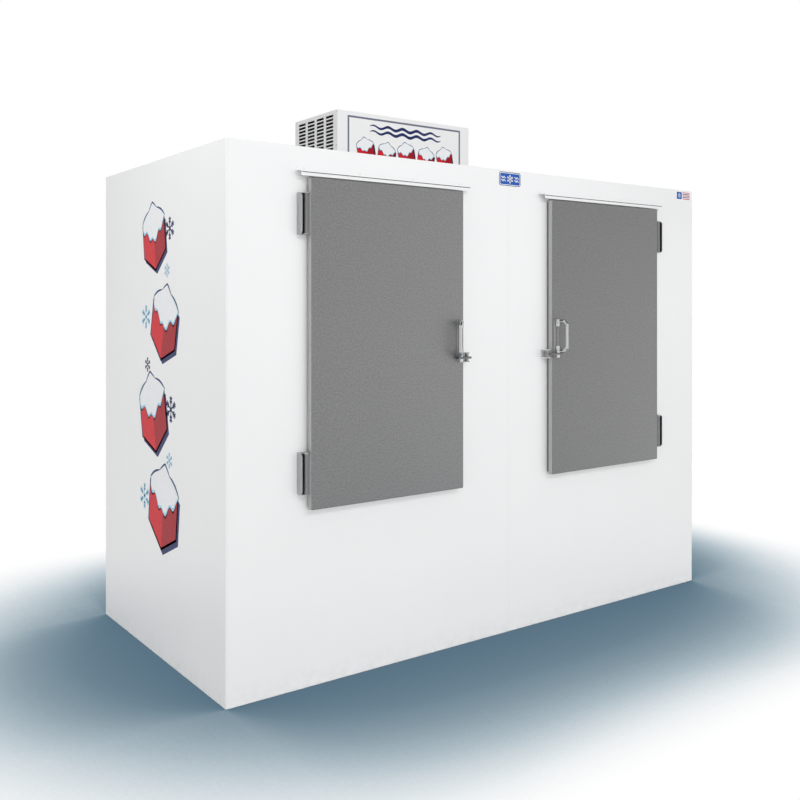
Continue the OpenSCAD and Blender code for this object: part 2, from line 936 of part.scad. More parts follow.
// Two hubs on the latch pin, joined by a round grip with cut corners.
module latch_lever() {
    c = grip_corner;
    knuckle = 1.1 * grip_d;
    route = [
        [0, 0, grip_z0],
        [grip_run - c, 0, grip_z0],
        [grip_run, 0, grip_z0 + c],
        [grip_run, 0, grip_z1 - c],
        [grip_run - c, 0, grip_z1],
        [0, 0, grip_z1]
    ];
    color("gainsboro") translate([latch_x, latch_y, 0]) difference() {
        union() {
            rod_z(0, 0, hub_z0, hub_z0 + hub_h, hub_d);
            rod_z(0, 0, top_hub_z, latch_z1, hub_d);
            rotate([0, 0, grip_angle]) {
                for (i = [0 : 4]) rod(route[i], route[i + 1], grip_d);
                for (i = [1 : 4]) translate(route[i]) sphere(d = knuckle);
            }
        }
        rod_z(0, 0, hub_z0 - cut, latch_z1 + cut, latch_pin_d + 2 * shaft_play);
    }
}

// A bar with a slot for the latch pin and a round nose.
module latch_bolt() {
    x1 = door_x1 + bolt_reach;
    x0 = door_x1 - bolt_tail;
    nose = 5;
    half = bolt_slot / 2;
    color("silver") plate_xy(bolt_z0, bolt_z0 + bolt_h) difference() {
        union() {
            translate([x0, bolt_y - bolt_w]) square([x1 - nose - x0, bolt_w]);
            intersection() {
                translate([x1 - bolt_w, bolt_y - bolt_w / 2]) circle(bolt_w);
                translate([x1 - nose - cut, bolt_y - bolt_w]) square([bolt_w, bolt_w]);
            }
        }
        translate([latch_x, latch_y - half]) square([bolt_travel, bolt_slot]);
        for (x = [latch_x, latch_x + bolt_travel]) translate([x, latch_y]) circle(half);
    }
}

// A back plate, two ears and the fixed pin between them.
module door_strikes() {
    half = strike_h / 2;
    ear_y = roller_y - roller_pin_d;
    corner = 4;
    color("silver") both_doors() {
        span([strike_x0, front_y - strike_t, strike_z - half], [strike_x1, front_y, strike_z + half]);
        for (s = [-1, 1]) mirror_about(strike_z, s)
            plate_xy(strike_z + roller_end, strike_z + half)
                round_front(strike_x0, strike_x1, ear_y, front_y, corner);
        rod_z(roller_x, roller_y, strike_z - half, strike_z + half, roller_pin_d);
    }
}

module strike_roller() {
    color("gainsboro") difference() {
        reach = roller_end - slide_play;
        rod_z(roller_x, roller_y, strike_z - reach, strike_z + reach, roller_d);
        rod_z(roller_x, roller_y, strike_z - strike_h, strike_z + strike_h, roller_pin_d + 2 * shaft_play);
    }
}

// ---------- condensing unit ----------

module unit_base_pan() {
    x = unit_x - unit_t;
    y0 = unit_y0 + unit_t;
    y1 = unit_y1 - unit_t;
    color("silver") difference() {
        span([-x, y0, cab_h], [x, y1, cab_h + tray_edge]);
        span([-x + tray_t, y0 + tray_t, tray_z], [x - tray_t, y1 - tray_t, cab_h + tray_edge + cut]);
        drop_hole();
    }
}

// A louvred side of the housing, as an outline in Y and Z.
module louvre_outline() {
    slot_y0 = unit_y0 + slot_margin;
    slot_z0 = unit_z1 - slot_top - slot_h;
    difference() {
        translate([unit_y0 + unit_t, cab_h]) square([unit_d - unit_t, unit_h]);
        for (c = [0 : louvre_cols - 1], r = [0 : louvre_rows - 1])
            translate([slot_y0 + c * (slot_w + slot_land), slot_z0 - r * slot_pitch])
                square([slot_w, slot_h]);
    }
}

module unit_hood() {
    inner = unit_x - unit_t;
    color("white") difference() {
        union() {
            for (s = [0, 1]) mirror([s, 0, 0]) plate_yz(-unit_x, -inner) louvre_outline();
            span([-unit_x, unit_y0 + unit_t, unit_z1 - unit_t], [unit_x, unit_y1, unit_z1]);
            span([-unit_x, unit_y1 - unit_t, cab_h], [unit_x, unit_y1, unit_z1]);
        }
        rod_y(knob_x, unit_y1 - unit_t - cut, unit_y1 + cut, gland_z, gland_d + 2 * shaft_play);
    }
}

module unit_front_panel() {
    turn = 14;
    x = unit_x - unit_t;
    z1 = unit_z1 - unit_t;
    color("white") {
        span([-unit_x, unit_y0, cab_h], [unit_x, unit_y0 + unit_t, unit_z1]);
        span([-x, unit_y0 + unit_t, z1 - unit_t], [x, unit_y0 + turn, z1]);
        for (s = [0, 1]) mirror([s, 0, 0])
            span([-x, unit_y0 + unit_t, cab_h + tray_edge], [-x + unit_t, unit_y0 + turn, z1]);
    }
}

// Places children at the compressor's four feet.
module at_feet() {
    reach = (comp_plate - mount_d) / 2 - 2;
    for (x = [-reach, reach], y = [-reach, reach]) translate([comp_x + x, unit_yc + y, 0]) children();
}

module compressor() {
    shoulder = 34;
    half = comp_plate / 2;
    cover_half = 30;
    cover_z = comp_z + 50;
    cover_out = 16;
    color("black") {
        plate_xy(comp_z - comp_plate_t, comp_z)
            round_rect(comp_x - half, comp_x + half, unit_yc - half, unit_yc + half, mount_d / 2);
        translate([comp_x, unit_yc, comp_z]) can(comp_d, comp_h, shoulder);
        for (s = [-1, 1])
            rod_z(comp_x + s * comp_port, unit_yc, comp_top - 2 * stub_h, comp_top + stub_h, line_d);
        span(
            [comp_x + comp_d / 2 - cover_out, unit_yc - cover_half, cover_z],
            [comp_x + comp_d / 2 + cover_out, unit_yc + cover_half, cover_z + 2 * cover_half]
        );
    }
}

module compressor_mounts() {
    waist = 4;
    color("black") at_feet() translate([0, 0, tray_z]) {
        cylinder(h = waist, d = mount_d);
        cylinder(h = mount_h, d = mount_d - 6);
        translate([0, 0, mount_h - waist]) cylinder(h = waist, d = mount_d);
    }
}

// Half rings at the end of a coil, one above the other from z, each along Y unless turned.
module return_bends(rows, pitch, d) {
    for (k = [0 : rows - 1])
        translate([0, 0, (2 * k + 0.5) * pitch])
            rotate([0, 90, 0]) rotate_extrude(angle = 180) translate([pitch / 2, 0]) circle(d = d);
}

// A finned block between end plates, with return bends and a header at the front.
module condenser_coil() {
    plate = 2;
    inset = 3;
    foot = 6;
    rows = 6;
    end = 20;
    tube = 8;
    port = 10;
    pitch = (cond_z1 - tray_z - 2 * end) / (2 * rows - 1);
    color("darkgray") {
        span([cond_x0 + inset, cond_y0, tray_z + foot], [cond_x1 - inset, cond_y1, cond_z1 - inset]);
        for (y = [cond_y0, cond_y1 - plate]) span([cond_x0, y, tray_z], [cond_x1, y + plate, cond_z1]);
        translate([cond_xc, cond_y1, tray_z + end]) return_bends(rows, pitch, tube);
        rod_z(cond_xc, header_y, header_z0, header_z1, header_d);
        for (z = [header_z0 + port, header_z1 - port]) rod_y(cond_xc, header_y, cond_y0, z, tube);
    }
}

module fan_shroud() {
    t = shroud_t;
    color("silver") difference() {
        span([cond_x1, cond_y0, tray_z], [shroud_x1, cond_y1, cond_z1]);
        span([cond_x1 - cut, cond_y0 + t, tray_z + t], [shroud_x1 - t, cond_y1 - t, cond_z1 - t]);
        rod_x(shroud_x1 - t - cut, shroud_x1 + cut, unit_yc, fan_z, fan_d + 2 * fan_gap);
    }
}

// A motor with its shaft, on a bracket that is bent like an L.
module condenser_fan_motor() {
    foot_w = 70;
    foot_t = 3;
    foot_len = 40;
    x1 = motor_x0 + motor_len;
    foot_x = x1 - 12;
    color("dimgray") {
        rod_x(motor_x0, x1, unit_yc, fan_z, motor_d);
        rod_x(shroud_x1 + fan_len / 2 - shaft_reach, motor_x0, unit_yc, fan_z, fan_shaft_d);
        translate([foot_x, unit_yc - foot_w / 2, tray_z]) {
            cube([foot_t, foot_w, fan_z - tray_z]);
            cube([foot_len, foot_w, foot_t]);
        }
    }
}

module condenser_fan() {
    color("lightgray") translate([fan_x0, unit_yc, fan_z]) rotate([0, 90, 0])
        fan_wheel(fan_d, fan_hub_d, fan_len, fan_shaft_d + 2 * shaft_play);
}

module receiver() {
    shoulder = 16;
    skirt_h = 14;
    color("dimgray") translate([recv_x, recv_y, tray_z]) {
        can(recv_d, recv_h, shoulder);
        cylinder(h = skirt_h, d = recv_d - 10);
        for (s = [-1, 1]) translate([s * recv_port, 0, recv_h - stub_h])
            cylinder(h = 2 * stub_h, d = line_d);
    }
}

module filter_drier() {
    cone = 12;
    neck = line_d + 2;
    color("goldenrod") translate([recv_x + recv_port, drier_y0, drier_z]) rotate([-90, 0, 0]) {
        cylinder(h = cone, d1 = neck, d2 = drier_d);
        translate([0, 0, cone]) cylinder(h = drier_len - 2 * cone, d = drier_d);
        translate([0, 0, drier_len - cone]) cylinder(h = cone, d1 = drier_d, d2 = neck);
    }
}

module refrigerant_lines() {
    x_in = recv_x - recv_port;
    x_out = recv_x + recv_port;
    stub_top = comp_top + stub_h;
    recv_stub = recv_top + stub_h;
    liquid_y = drop_y - drop_pitch / 2;
    suction_y = drop_y + drop_pitch / 2;
    color("peru") {
        // Hot gas, from the compressor to the condenser.
        pipe([
            [comp_x - comp_port, unit_yc, stub_top],
            [comp_x - comp_port, unit_yc, line_top],
            [cond_xc, unit_yc, line_top],
            [cond_xc, header_y, line_top],
            [cond_xc, header_y, header_z1]
        ], line_d, bend);
        // Liquid, from the condenser to the receiver.
        pipe([
            [cond_xc, header_y, header_z0],
            [cond_xc, header_y, line_low],
            [x_in, header_y, line_low],
            [x_in, header_y, drier_z],
            [x_in, recv_y, drier_z],
            [x_in, recv_y, recv_stub]
        ], line_d, bend);
        // Liquid, from the receiver to the drier.
        pipe([
            [x_out, recv_y, recv_stub],
            [x_out, recv_y, drier_z],
            [x_out, drier_y0, drier_z]
        ], line_d, bend);
        // Liquid, from the drier down to the evaporator.
        pipe([
            [x_out, drier_y1, drier_z],
            [x_out, liquid_y, drier_z],
            [drop_x, liquid_y, drier_z],
            [drop_x, liquid_y, coil_port_z]
        ], line_d, bend);
        // Suction, from the evaporator back to the compressor.
        pipe([
            [drop_x, suction_y, coil_port_z],
            [drop_x, suction_y, line_top],
            [comp_x + comp_port, suction_y, line_top],
            [comp_x + comp_port, unit_yc, line_top],
            [comp_x + comp_port, unit_yc, stub_top]
        ], line_d, bend);
    }
}

module control_box() {
    color("gray") {
        span([box_x0, box_y0, tray_z], [box_x0 + box_w, box_y0 + box_d, tray_z + box_h]);
        span(
            [box_x0 - box_lid, box_y0 - box_lid, tray_z],
            [box_x0 + box_w + box_lid, box_y0, tray_z + box_h + box_lid]
        );
        rod_y(knob_x, box_y0 - box_lid - knob_shaft_h, box_y0, knob_z, knob_shaft_d);
    }
}

// A knob with a pointer rib and a blind hole for its shaft.
module control_knob() {
    rib = 5;
    rib_end = 2;
    skirt_h = 10;
    y1 = box_y0 - box_lid - slide_play;
    rib_z = knob_d / 2 - rib_end;
    hole_y = box_y0 - box_lid - knob_shaft_h - shaft_play;
    color("black") difference() {
        union() {
            rod_y(knob_x, y1 - skirt_h, y1, knob_z, knob_d);
            span(
                [knob_x - rib / 2, y1 - knob_h, knob_z - rib_z],
                [knob_x + rib / 2, y1 - rib_end, knob_z + rib_z]
            );
        }
        rod_y(knob_x, hole_y, y1 + cut, knob_z, knob_shaft_d + 2 * shaft_play);
    }
}

// A threaded sleeve through the housing, with a nut inside, a collar outside and a cap.
module cord_gland() {
    nut_h = 6;
    thread_in = 10;
    cap_y = unit_y1 + nut_h + 1;
    cap_len = 9;
    color("black") difference() {
        union() {
            rod_y(knob_x, unit_y1 - unit_t - thread_in, unit_y1 + nut_h, gland_z, gland_d);
            for (y = [unit_y1 - unit_t - nut_h, unit_y1])
                translate([knob_x, y, gland_z]) rotate([-90, 0, 0]) cylinder(h = nut_h, d = nut_d, $fn = 6);
            rod_y(knob_x, unit_y1, cap_y + cap_len, gland_z, gland_d - 1);
        }
        rod_y(knob_x, unit_y1 - unit_t - thread_in - cut, cap_y + cap_len + cut, gland_z, gland_bore);
    }
}

// ---------- evaporator ----------

// A duct that is open at the back, with a ring at its front for each fan.
module evaporator_housing() {
    t = evap_t;
    color("gainsboro") difference() {
        span([-evap_x, evap_y0, evap_z0], [evap_x, evap_y1, evap_z1]);
        span([-evap_x + t, evap_y0 + t, evap_z0 + t], [evap_x - t, evap_y1 + cut, evap_z1 - t]);
        for (x = blower_x) rod_y(x, evap_y0 - cut, evap_y0 + t + cut, evap_zc, blower_d + 2 * blower_gap);
        rod_z(drop_x, drop_y, evap_z1 - 2 * t, evap_z1 + cut, drop_hole_d);
        rod_z(drain_x, drain_start_y, evap_z0 - cut, evap_z0 + t + cut, drain_d - 6);
    }
}

// A finned block between end plates, with return bends at its left and headers at its right.
module evaporator_coil() {
    plate = 2;
    inset = 3;
    foot = 6;
    rows = 3;
    end = 20;
    tube = 9;
    header_lift = 30;
    z0 = evap_z0 + evap_t;
    pitch = (coil_z1 - z0 - 2 * end) / (2 * rows - 1);
    color("silver") {
        span([coil_x0, coil_y0 + inset, z0 + foot], [coil_x1, coil_y1 - inset, coil_z1 - inset]);
        for (x = [coil_x0, coil_x1 - plate]) span([x, coil_y0, z0], [x + plate, coil_y1, coil_z1]);
        translate([coil_x0, (coil_y0 + coil_y1) / 2, z0 + end])
            rotate([0, 0, 90]) return_bends(rows, pitch, tube);
        for (s = [-1, 1]) {
            y = drop_y + s * drop_pitch / 2;
            rod_z(drop_x, y, z0 + header_lift, coil_port_z, line_d + 2);
            rod_x(coil_x1, drop_x, y, coil_port_z - end, tube);
        }
    }
}

// Two motors with their shafts, each hung on a strap.
module evaporator_motors() {
    strap_w = 40;
    strap_t = 2;
    strap_y = blower_motor_y + 20;
    color("dimgray") for (x = blower_x) {
        rod_y(x, blower_motor_y, blower_motor_y + blower_motor_len, evap_zc, blower_motor_d);
        rod_y(x, blower_y0 + 3, blower_motor_y, evap_zc, fan_shaft_d);
        span(
            [x - strap_w / 2, strap_y, evap_zc],
            [x + strap_w / 2, strap_y + strap_t, evap_z1 - evap_t]
        );
    }
}

module evaporator_fan(x) {
    color("lightgray") translate([x, blower_y0 + blower_len, evap_zc]) rotate([90, 0, 0])
        fan_wheel(blower_d, blower_hub_d, blower_len, fan_shaft_d + 2 * shaft_play);
}

// ---------- nodes ----------

base_pan();
left_side_panel();
right_side_panel();
back_panel();
roof_panel();
front_sheet_left();
front_sheet_right();
insulation_boards();
insulation_front();
inner_liner();
opening_frames();
drip_rails();
cabinet_screws();
floor_racks();
drain_tube();
hinge_brackets();
hinge_pins();
door_strikes();
strike_roller();  // strike_roller_left
mirror([1, 0, 0]) strike_roller();  // strike_roller_right
door_pan();  // door_pan_left
door_core();  // door_core_left
door_liner();  // door_liner_left
door_gasket();  // door_gasket_left
hinge_leaves();  // hinge_leaves_left
hinge_barrels();  // hinge_barrels_left
latch_base();  // latch_base_left
latch_pin();  // latch_pin_left
latch_lever();  // latch_lever_left
latch_bolt();  // latch_bolt_left
mirror([1, 0, 0]) door_pan();  // door_pan_right
mirror([1, 0, 0]) door_core();  // door_core_right
mirror([1, 0, 0]) door_liner();  // door_liner_right
mirror([1, 0, 0]) door_gasket();  // door_gasket_right
mirror([1, 0, 0]) hinge_leaves();  // hinge_leaves_right
mirror([1, 0, 0]) hinge_barrels();  // hinge_barrels_right
mirror([1, 0, 0]) latch_base();  // latch_base_right
mirror([1, 0, 0]) latch_pin();  // latch_pin_right
mirror([1, 0, 0]) latch_lever();  // latch_lever_right
mirror([1, 0, 0]) latch_bolt();  // latch_bolt_right
unit_base_pan();
unit_hood();
unit_front_panel();
compressor();
compressor_mounts();
condenser_coil();
fan_shroud();
condenser_fan_motor();
condenser_fan();
receiver();
filter_drier();
refrigerant_lines();
control_box();
control_knob();
cord_gland();
evaporator_housing();
evaporator_coil();
evaporator_motors();
evaporator_fan(blower_x[0]);  // evaporator_fan_left
evaporator_fan(blower_x[1]);  // evaporator_fan_right
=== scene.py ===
import math

import bmesh
import bpy
from mathutils import Matrix, Vector

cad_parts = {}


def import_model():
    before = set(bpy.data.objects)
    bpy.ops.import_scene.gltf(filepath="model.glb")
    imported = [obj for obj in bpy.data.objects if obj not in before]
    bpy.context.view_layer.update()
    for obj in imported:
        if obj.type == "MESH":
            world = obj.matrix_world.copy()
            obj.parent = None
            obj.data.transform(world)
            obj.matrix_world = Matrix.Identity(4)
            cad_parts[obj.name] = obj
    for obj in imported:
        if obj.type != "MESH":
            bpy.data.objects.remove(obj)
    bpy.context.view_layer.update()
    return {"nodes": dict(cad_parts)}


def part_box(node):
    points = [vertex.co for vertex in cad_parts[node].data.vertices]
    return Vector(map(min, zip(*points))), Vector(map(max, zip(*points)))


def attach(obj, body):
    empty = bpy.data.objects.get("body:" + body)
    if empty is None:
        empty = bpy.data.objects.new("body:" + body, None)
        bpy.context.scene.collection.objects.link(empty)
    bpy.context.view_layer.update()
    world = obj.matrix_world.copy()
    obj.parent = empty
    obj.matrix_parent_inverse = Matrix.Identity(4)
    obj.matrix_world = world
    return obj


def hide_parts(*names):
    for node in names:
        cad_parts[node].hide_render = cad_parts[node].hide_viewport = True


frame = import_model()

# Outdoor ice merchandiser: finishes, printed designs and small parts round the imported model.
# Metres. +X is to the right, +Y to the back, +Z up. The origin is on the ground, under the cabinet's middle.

MM = 0.001

# ---------- the cabinet's planes, from the frame ----------

LEFT_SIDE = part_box("left_side_panel")
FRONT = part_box("front_sheet_left")
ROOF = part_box("roof_panel")
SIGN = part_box("unit_front_panel")
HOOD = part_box("unit_hood")
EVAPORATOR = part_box("evaporator_housing")
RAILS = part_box("drip_rails")
LEFT_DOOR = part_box("door_pan_left")
RIGHT_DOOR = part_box("door_pan_right")

SIDE_X = ROOF[1].x
FRONT_Y = FRONT[0].y
BACK_Y = ROOF[1].y
SEAM_X = FRONT[1].x
FRONT_EDGE_X = FRONT[0].x


# ---------- materials ----------

class Finish:
    """A material on one Principled shader. Its patterns are in the object's own metres."""

    def __init__(self, name, color, roughness, metallic=0.0, **sockets):
        self.material = bpy.data.materials.new(name)
        self.material.use_nodes = True
        self.tree = self.material.node_tree
        self.shader = self.tree.nodes["Principled BSDF"]
        self.place = self.tree.nodes.new("ShaderNodeTexCoord").outputs["Object"]
        self.normal = self.place.node.outputs["Normal"]
        self.set("Base Color", (*color, 1.0))
        self.set("Roughness", roughness)
        self.set("Metallic", metallic)
        for key, value in sockets.items():
            self.set(key.replace("_", " "), value)

    def set(self, socket, value):
        self.shader.inputs[socket].default_value = value

    def node(self, kind, links=(), **settings):
        made = self.tree.nodes.new("ShaderNode" + kind)
        for key, value in settings.items():
            setattr(made, key, value)
        for key, value in links:
            if isinstance(value, bpy.types.NodeSocket):
                self.tree.links.new(value, made.inputs[key])
            else:
                made.inputs[key].default_value = value
        return made

    def noise(self, size, detail=2.0, place=None):
        """A soft noise, from 0 to 1, whose blobs are about that size in metres."""
        return self.node("TexNoise", [
            ("Vector", place or self.place), ("Scale", 1.0 / size), ("Detail", detail),
        ]).outputs["Fac"]

    def hairlines(self, along="Z"):
        """Fine lines along one axis, 0 to 1."""
        squeeze = [1.0, 1.0, 1.0]
        squeeze["XYZ".index(along)] = 0.02
        drawn_out = self.node("Mapping", [("Vector", self.place), ("Scale", squeeze)]).outputs[0]
        return self.noise(0.0012, 3, drawn_out)

    def cells(self, size, output="Color"):
        """Random cells of about that size in metres."""
        return self.node("TexVoronoi", [("Vector", self.place), ("Scale", 1.0 / size)]).outputs[output]

    def stripes(self, pitch, axis):
        """Even stripes across an axis, with that pitch in metres."""
        return self.node("TexWave", [
            ("Vector", self.place), ("Scale", math.pi / 10 / pitch), ("Distortion", 0.0),
        ], wave_type="BANDS", bands_direction=axis, wave_profile="SIN").outputs["Fac"]

    def part(self, vector, axis):
        """One axis of a vector."""
        return self.node("SeparateXYZ", [("Vector", vector)]).outputs[axis]

    def math(self, operation, a, b=0.0):
        return self.node("Math", [(0, a), (1, b)], operation=operation).outputs[0]

    def inward(self, centre):
        """1 on faces that look towards a place inside the piece, 0 on the faces that look outwards."""
        out = self.node("VectorMath", [(0, self.place), (1, centre)], operation="SUBTRACT").outputs[0]
        dot = self.node("VectorMath", [(0, out), (1, self.normal)], operation="DOT_PRODUCT").outputs["Value"]
        return self.math("LESS_THAN", dot, 0.0)

    def remap(self, value, low, high, to_low=0.0, to_high=1.0):
        """The value, with low to high spread over to_low to to_high."""
        return self.node("MapRange", [
            ("Value", value), ("From Min", low), ("From Max", high),
            ("To Min", to_low), ("To Max", to_high),
        ]).outputs["Result"]

    def times(self, a, b):
        return self.math("MULTIPLY", a, b)

    def plus(self, a, b):
        return self.math("ADD", a, b)

    def mix(self, factor, a, b):
        """A colour between a and b."""
        made = self.node("Mix", [("Factor", factor)], data_type="RGBA")
        for key, value in ((6, a), (7, b)):
            if isinstance(value, bpy.types.NodeSocket):
                self.tree.links.new(value, made.inputs[key])
            else:
                made.inputs[key].default_value = (*value, 1.0)
        return made.outputs[2]

    def wire(self, socket, value):
        self.tree.links.new(value, self.shader.inputs[socket])
        return self

    def color_from(self, factor, dark, light):
        return self.wire("Base Color", self.mix(factor, dark, light))

    def roughness_from(self, value, low, high):
        return self.wire("Roughness", self.remap(value, 0.3, 0.7, low, high))

    def bump(self, value, depth, strength=1.0):
        """Raises the surface by up to depth metres."""
        made = self.node("Bump", [("Height", value), ("Distance", depth), ("Strength", strength)])
        normal = self.shader.inputs["Normal"]
        if normal.is_linked:
            self.tree.links.new(normal.links[0].from_socket, made.inputs["Normal"])
        return self.wire("Normal", made.outputs["Normal"])


ENAMEL_WHITE = (0.87, 0.875, 0.88)
PLATE_BRIGHT = (0.66, 0.665, 0.67)


def shades(color, spread):
    """A colour made darker and lighter by a share of itself."""
    return [tuple(c * (1 + s * spread) for c in color) for s in (-1, 1)]


def enamel(name, color, roughness=0.34):
    """Sprayed enamel on sheet: faint orange peel, slow waves in the sheet, a little dust low down."""
    made = Finish(name, color, roughness, Coat_Weight=0.15, Coat_Roughness=0.12)
    cloud = made.noise(0.35, 3)
    dust = made.remap(made.part(made.place, "Z"), 0.0, 0.09, 0.5, 0.0)
    dirty = made.times(dust, made.remap(made.noise(0.03, 5), 0.35, 0.75))
    clean = made.mix(cloud, *shades(color, 0.012))
    made.wire("Base Color", made.mix(dirty, clean, tuple(c * 0.82 for c in color)))
    made.roughness_from(made.noise(0.05, 4), roughness - 0.05, roughness + 0.06)
    made.bump(made.noise(0.28, 1), 0.0012)
    made.bump(made.noise(0.0022, 1), 0.00002)
    return made


def powder(name, color, roughness=0.5):
    """Powder coat with a fine grain."""
    made = Finish(name, color, roughness)
    made.color_from(made.noise(0.02, 4), *shades(color, 0.08))
    made.roughness_from(made.noise(0.006, 2), roughness - 0.06, roughness + 0.08)
    made.bump(made.noise(0.0009, 1), 0.00004)
    return made


def brushed(name, color, roughness=0.34, along="Z"):
    """Metal with fine lines along one axis and a few scuffs."""
    made = Finish(name, color, roughness, 1.0)
    lines = made.hairlines(along)
    made.color_from(lines, *shades(color, 0.14))
    made.roughness_from(made.noise(0.008, 4), roughness - 0.08, roughness + 0.12)
    made.bump(lines, 0.00002)
    return made


def galvanised(name, color=(0.56, 0.58, 0.59)):
    """Zinc-coated sheet with spangles."""
    made = Finish(name, color, 0.42, 0.9)
    spangle = made.node("SeparateColor", [("Color", made.cells(0.012))]).outputs[0]
    made.color_from(spangle, *shades(color, 0.16))
    made.roughness_from(made.plus(made.times(spangle, 0.5), 0.25), 0.32, 0.5)
    made.bump(made.noise(0.004, 3), 0.00003)
    return made


def enamel_with_painted_shade(name, painted_shade_where):
    """White enamel. Where the given share is 1 it is painted near-black: painted shade."""
    made = enamel(name, ENAMEL_WHITE)
    outside = made.shader.inputs["Base Color"].links[0].from_socket
    # Painted shade: a near-black colour where the share is 1.
    painted_shade_color = made.mix(made.noise(0.02, 4), (0.014, 0.0145, 0.015), (0.028, 0.0285, 0.03))
    made.wire("Base Color", made.mix(painted_shade_where(made), outside, painted_shade_color))
    return made


def stucco_sheet():
    """Grey metal sheet with a fine pebbled emboss. Painted light: each door's colour lightens towards its
    right as a painted reflection, and its side rims are painted lighter.
    """
    color = (0.298, 0.298, 0.299)
    painted_light_rim_color = (0.5, 0.5, 0.5)
    first_door = LEFT_DOOR[0].x
    door_step = RIGHT_DOOR[0].x - first_door
    made = Finish("stucco_sheet", color, 0.42, 0.8)
    pebbles = made.noise(0.0058, 2)
    emboss = made.times(made.remap(pebbles, 0.32, 0.68), 0.8)
    mottle = made.plus(emboss, made.times(made.noise(0.018, 3), 0.2))
    along = made.math("FRACT", made.times(made.plus(made.part(made.place, "X"), -first_door), 1 / door_step))
    # Painted reflection: the colour lightens from each door's left to its right, and is mixed into the grain
    # colour below.
    painted_sheen_gradient = made.remap(made.plus(along, made.times(made.noise(0.3, 1), 0.15)), 0.07, 0.66, -0.13, 0.13)
    grain = made.mix(made.plus(mottle, painted_sheen_gradient), *shades(color, 0.24))
    # Painted light: faces that look sideways, the door rims, get a lighter colour.
    rim = made.remap(made.math("ABSOLUTE", made.part(made.normal, "X")), 0.6, 0.9)
    made.wire("Base Color", made.mix(rim, grain, painted_light_rim_color))
    made.wire("Metallic", made.remap(rim, 0.0, 1.0, 0.8, 0.5))
    made.roughness_from(pebbles, 0.5, 0.64)
    made.bump(pebbles, 0.00025, 0.7)
    made.bump(made.noise(0.25, 1), 0.002)
    return made


def chrome():
    """Bright chrome plate with hairline wear."""
    color = (0.6, 0.605, 0.61)
    made = Finish("chrome", color, 0.09, 1.0)
    wear = made.noise(0.006, 5)
    made.color_from(wear, *shades(color, 0.04))
    made.roughness_from(wear, 0.05, 0.13)
    made.bump(made.noise(0.0015, 3), 0.000006)
    return made


def latch_plate():
    """The latch's base: dull like the door on its flat plate, and bright on its blocks."""
    dull = (0.4, 0.4, 0.402)
    made = Finish("latch_plate", dull, 0.4, 1.0)
    plate_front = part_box("latch_base_left")[1].y - 3.2 * MM
    block = made.math("LESS_THAN", made.part(made.place, "Y"), plate_front)
    lines = made.hairlines()
    made.wire("Base Color", made.mix(block, made.mix(lines, *shades(dull, 0.14)), PLATE_BRIGHT))
    made.wire("Roughness", made.remap(block, 0.0, 1.0, 0.5, 0.12))
    made.wire("Metallic", made.remap(block, 0.0, 1.0, 0.25, 1.0))
    made.bump(lines, 0.00002)
    return made


def strike_steel():
    """The strikes, with painted light: the left one is dull with flanks painted lighter, the right one is
    painted bright all over.
    """
    dull = (0.3, 0.3, 0.302)
    made = Finish("strike_steel", dull, 0.4, 0.35)
    lines = made.hairlines()
    # Painted light: the strikes' sideways flanks, and all of the right strike, get a lighter colour.
    painted_light_flank = made.remap(made.math("ABSOLUTE", made.part(made.normal, "X")), 0.5, 0.9)
    right = made.times(made.math("GREATER_THAN", made.part(made.place, "X"), 0.0), 0.85)
    bright = made.math("MAXIMUM", painted_light_flank, right)
    made.wire("Base Color", made.mix(bright, made.mix(lines, *shades(dull, 0.14)), (0.8, 0.805, 0.81)))
    made.roughness_from(lines, 0.34, 0.5)
    made.bump(lines, 0.00002)
    return made


def moulded(name, color, roughness=0.55, grain=0.0008):
    """Moulded plastic or rubber with a fine grain."""
    made = Finish(name, color, roughness)
    made.color_from(made.noise(0.015, 4), *shades(color, 0.12))
    made.roughness_from(made.noise(grain * 3, 2), roughness - 0.07, roughness + 0.1)
    made.bump(made.noise(grain, 2), 0.00005)
    return made


def foam():
    """Rigid foam with closed cells."""
    color = (0.74, 0.62, 0.34)
    made = Finish("foam", color, 0.9)
    cell = made.cells(0.0025, "Distance")
    made.color_from(made.remap(cell, 0.0, 0.8), *shades(color, 0.2))
    made.bump(cell, 0.0004)
    return made


def finned(name, axis, color=(0.42, 0.43, 0.44)):
    """Pressed fins, packed edge on across one axis, with painted shade in the gaps between them."""
    made = Finish(name, color, 0.4, 0.85)
    edges = made.stripes(0.0032, axis)
    # Painted shade: the dark stripes between the fin edges.
    dark = tuple(c * 0.12 for c in color)
    made.color_from(made.remap(edges, 0.25, 0.75), dark, color)
    made.roughness_from(made.noise(0.02, 4), 0.34, 0.5)
    made.bump(edges, 0.0008)
    return made


def copper_tube():
    """Drawn copper with patches of tarnish."""
    made = Finish("copper_tube", (0.4, 0.22, 0.15), 0.28, 1.0)
    tarnish = made.remap(made.noise(0.03, 5), 0.35, 0.65)
    made.color_from(tarnish, (0.22, 0.12, 0.085), (0.5, 0.28, 0.19))
    made.roughness_from(made.noise(0.012, 4), 0.2, 0.42)
    made.bump(made.noise(0.002, 2), 0.00002)
    return made


def print_ink(name, color):
    """Ink of a printed vinyl film."""
    made = Finish(name, color, 0.4, Specular_IOR_Level=0.2)
    made.color_from(made.noise(0.02, 3), *shades(color, 0.05))
    made.roughness_from(made.noise(0.004, 3), 0.36, 0.5)
    made.bump(made.noise(0.003, 2), 0.00001)
    return made


WHITE = enamel("white_enamel", ENAMEL_WHITE)
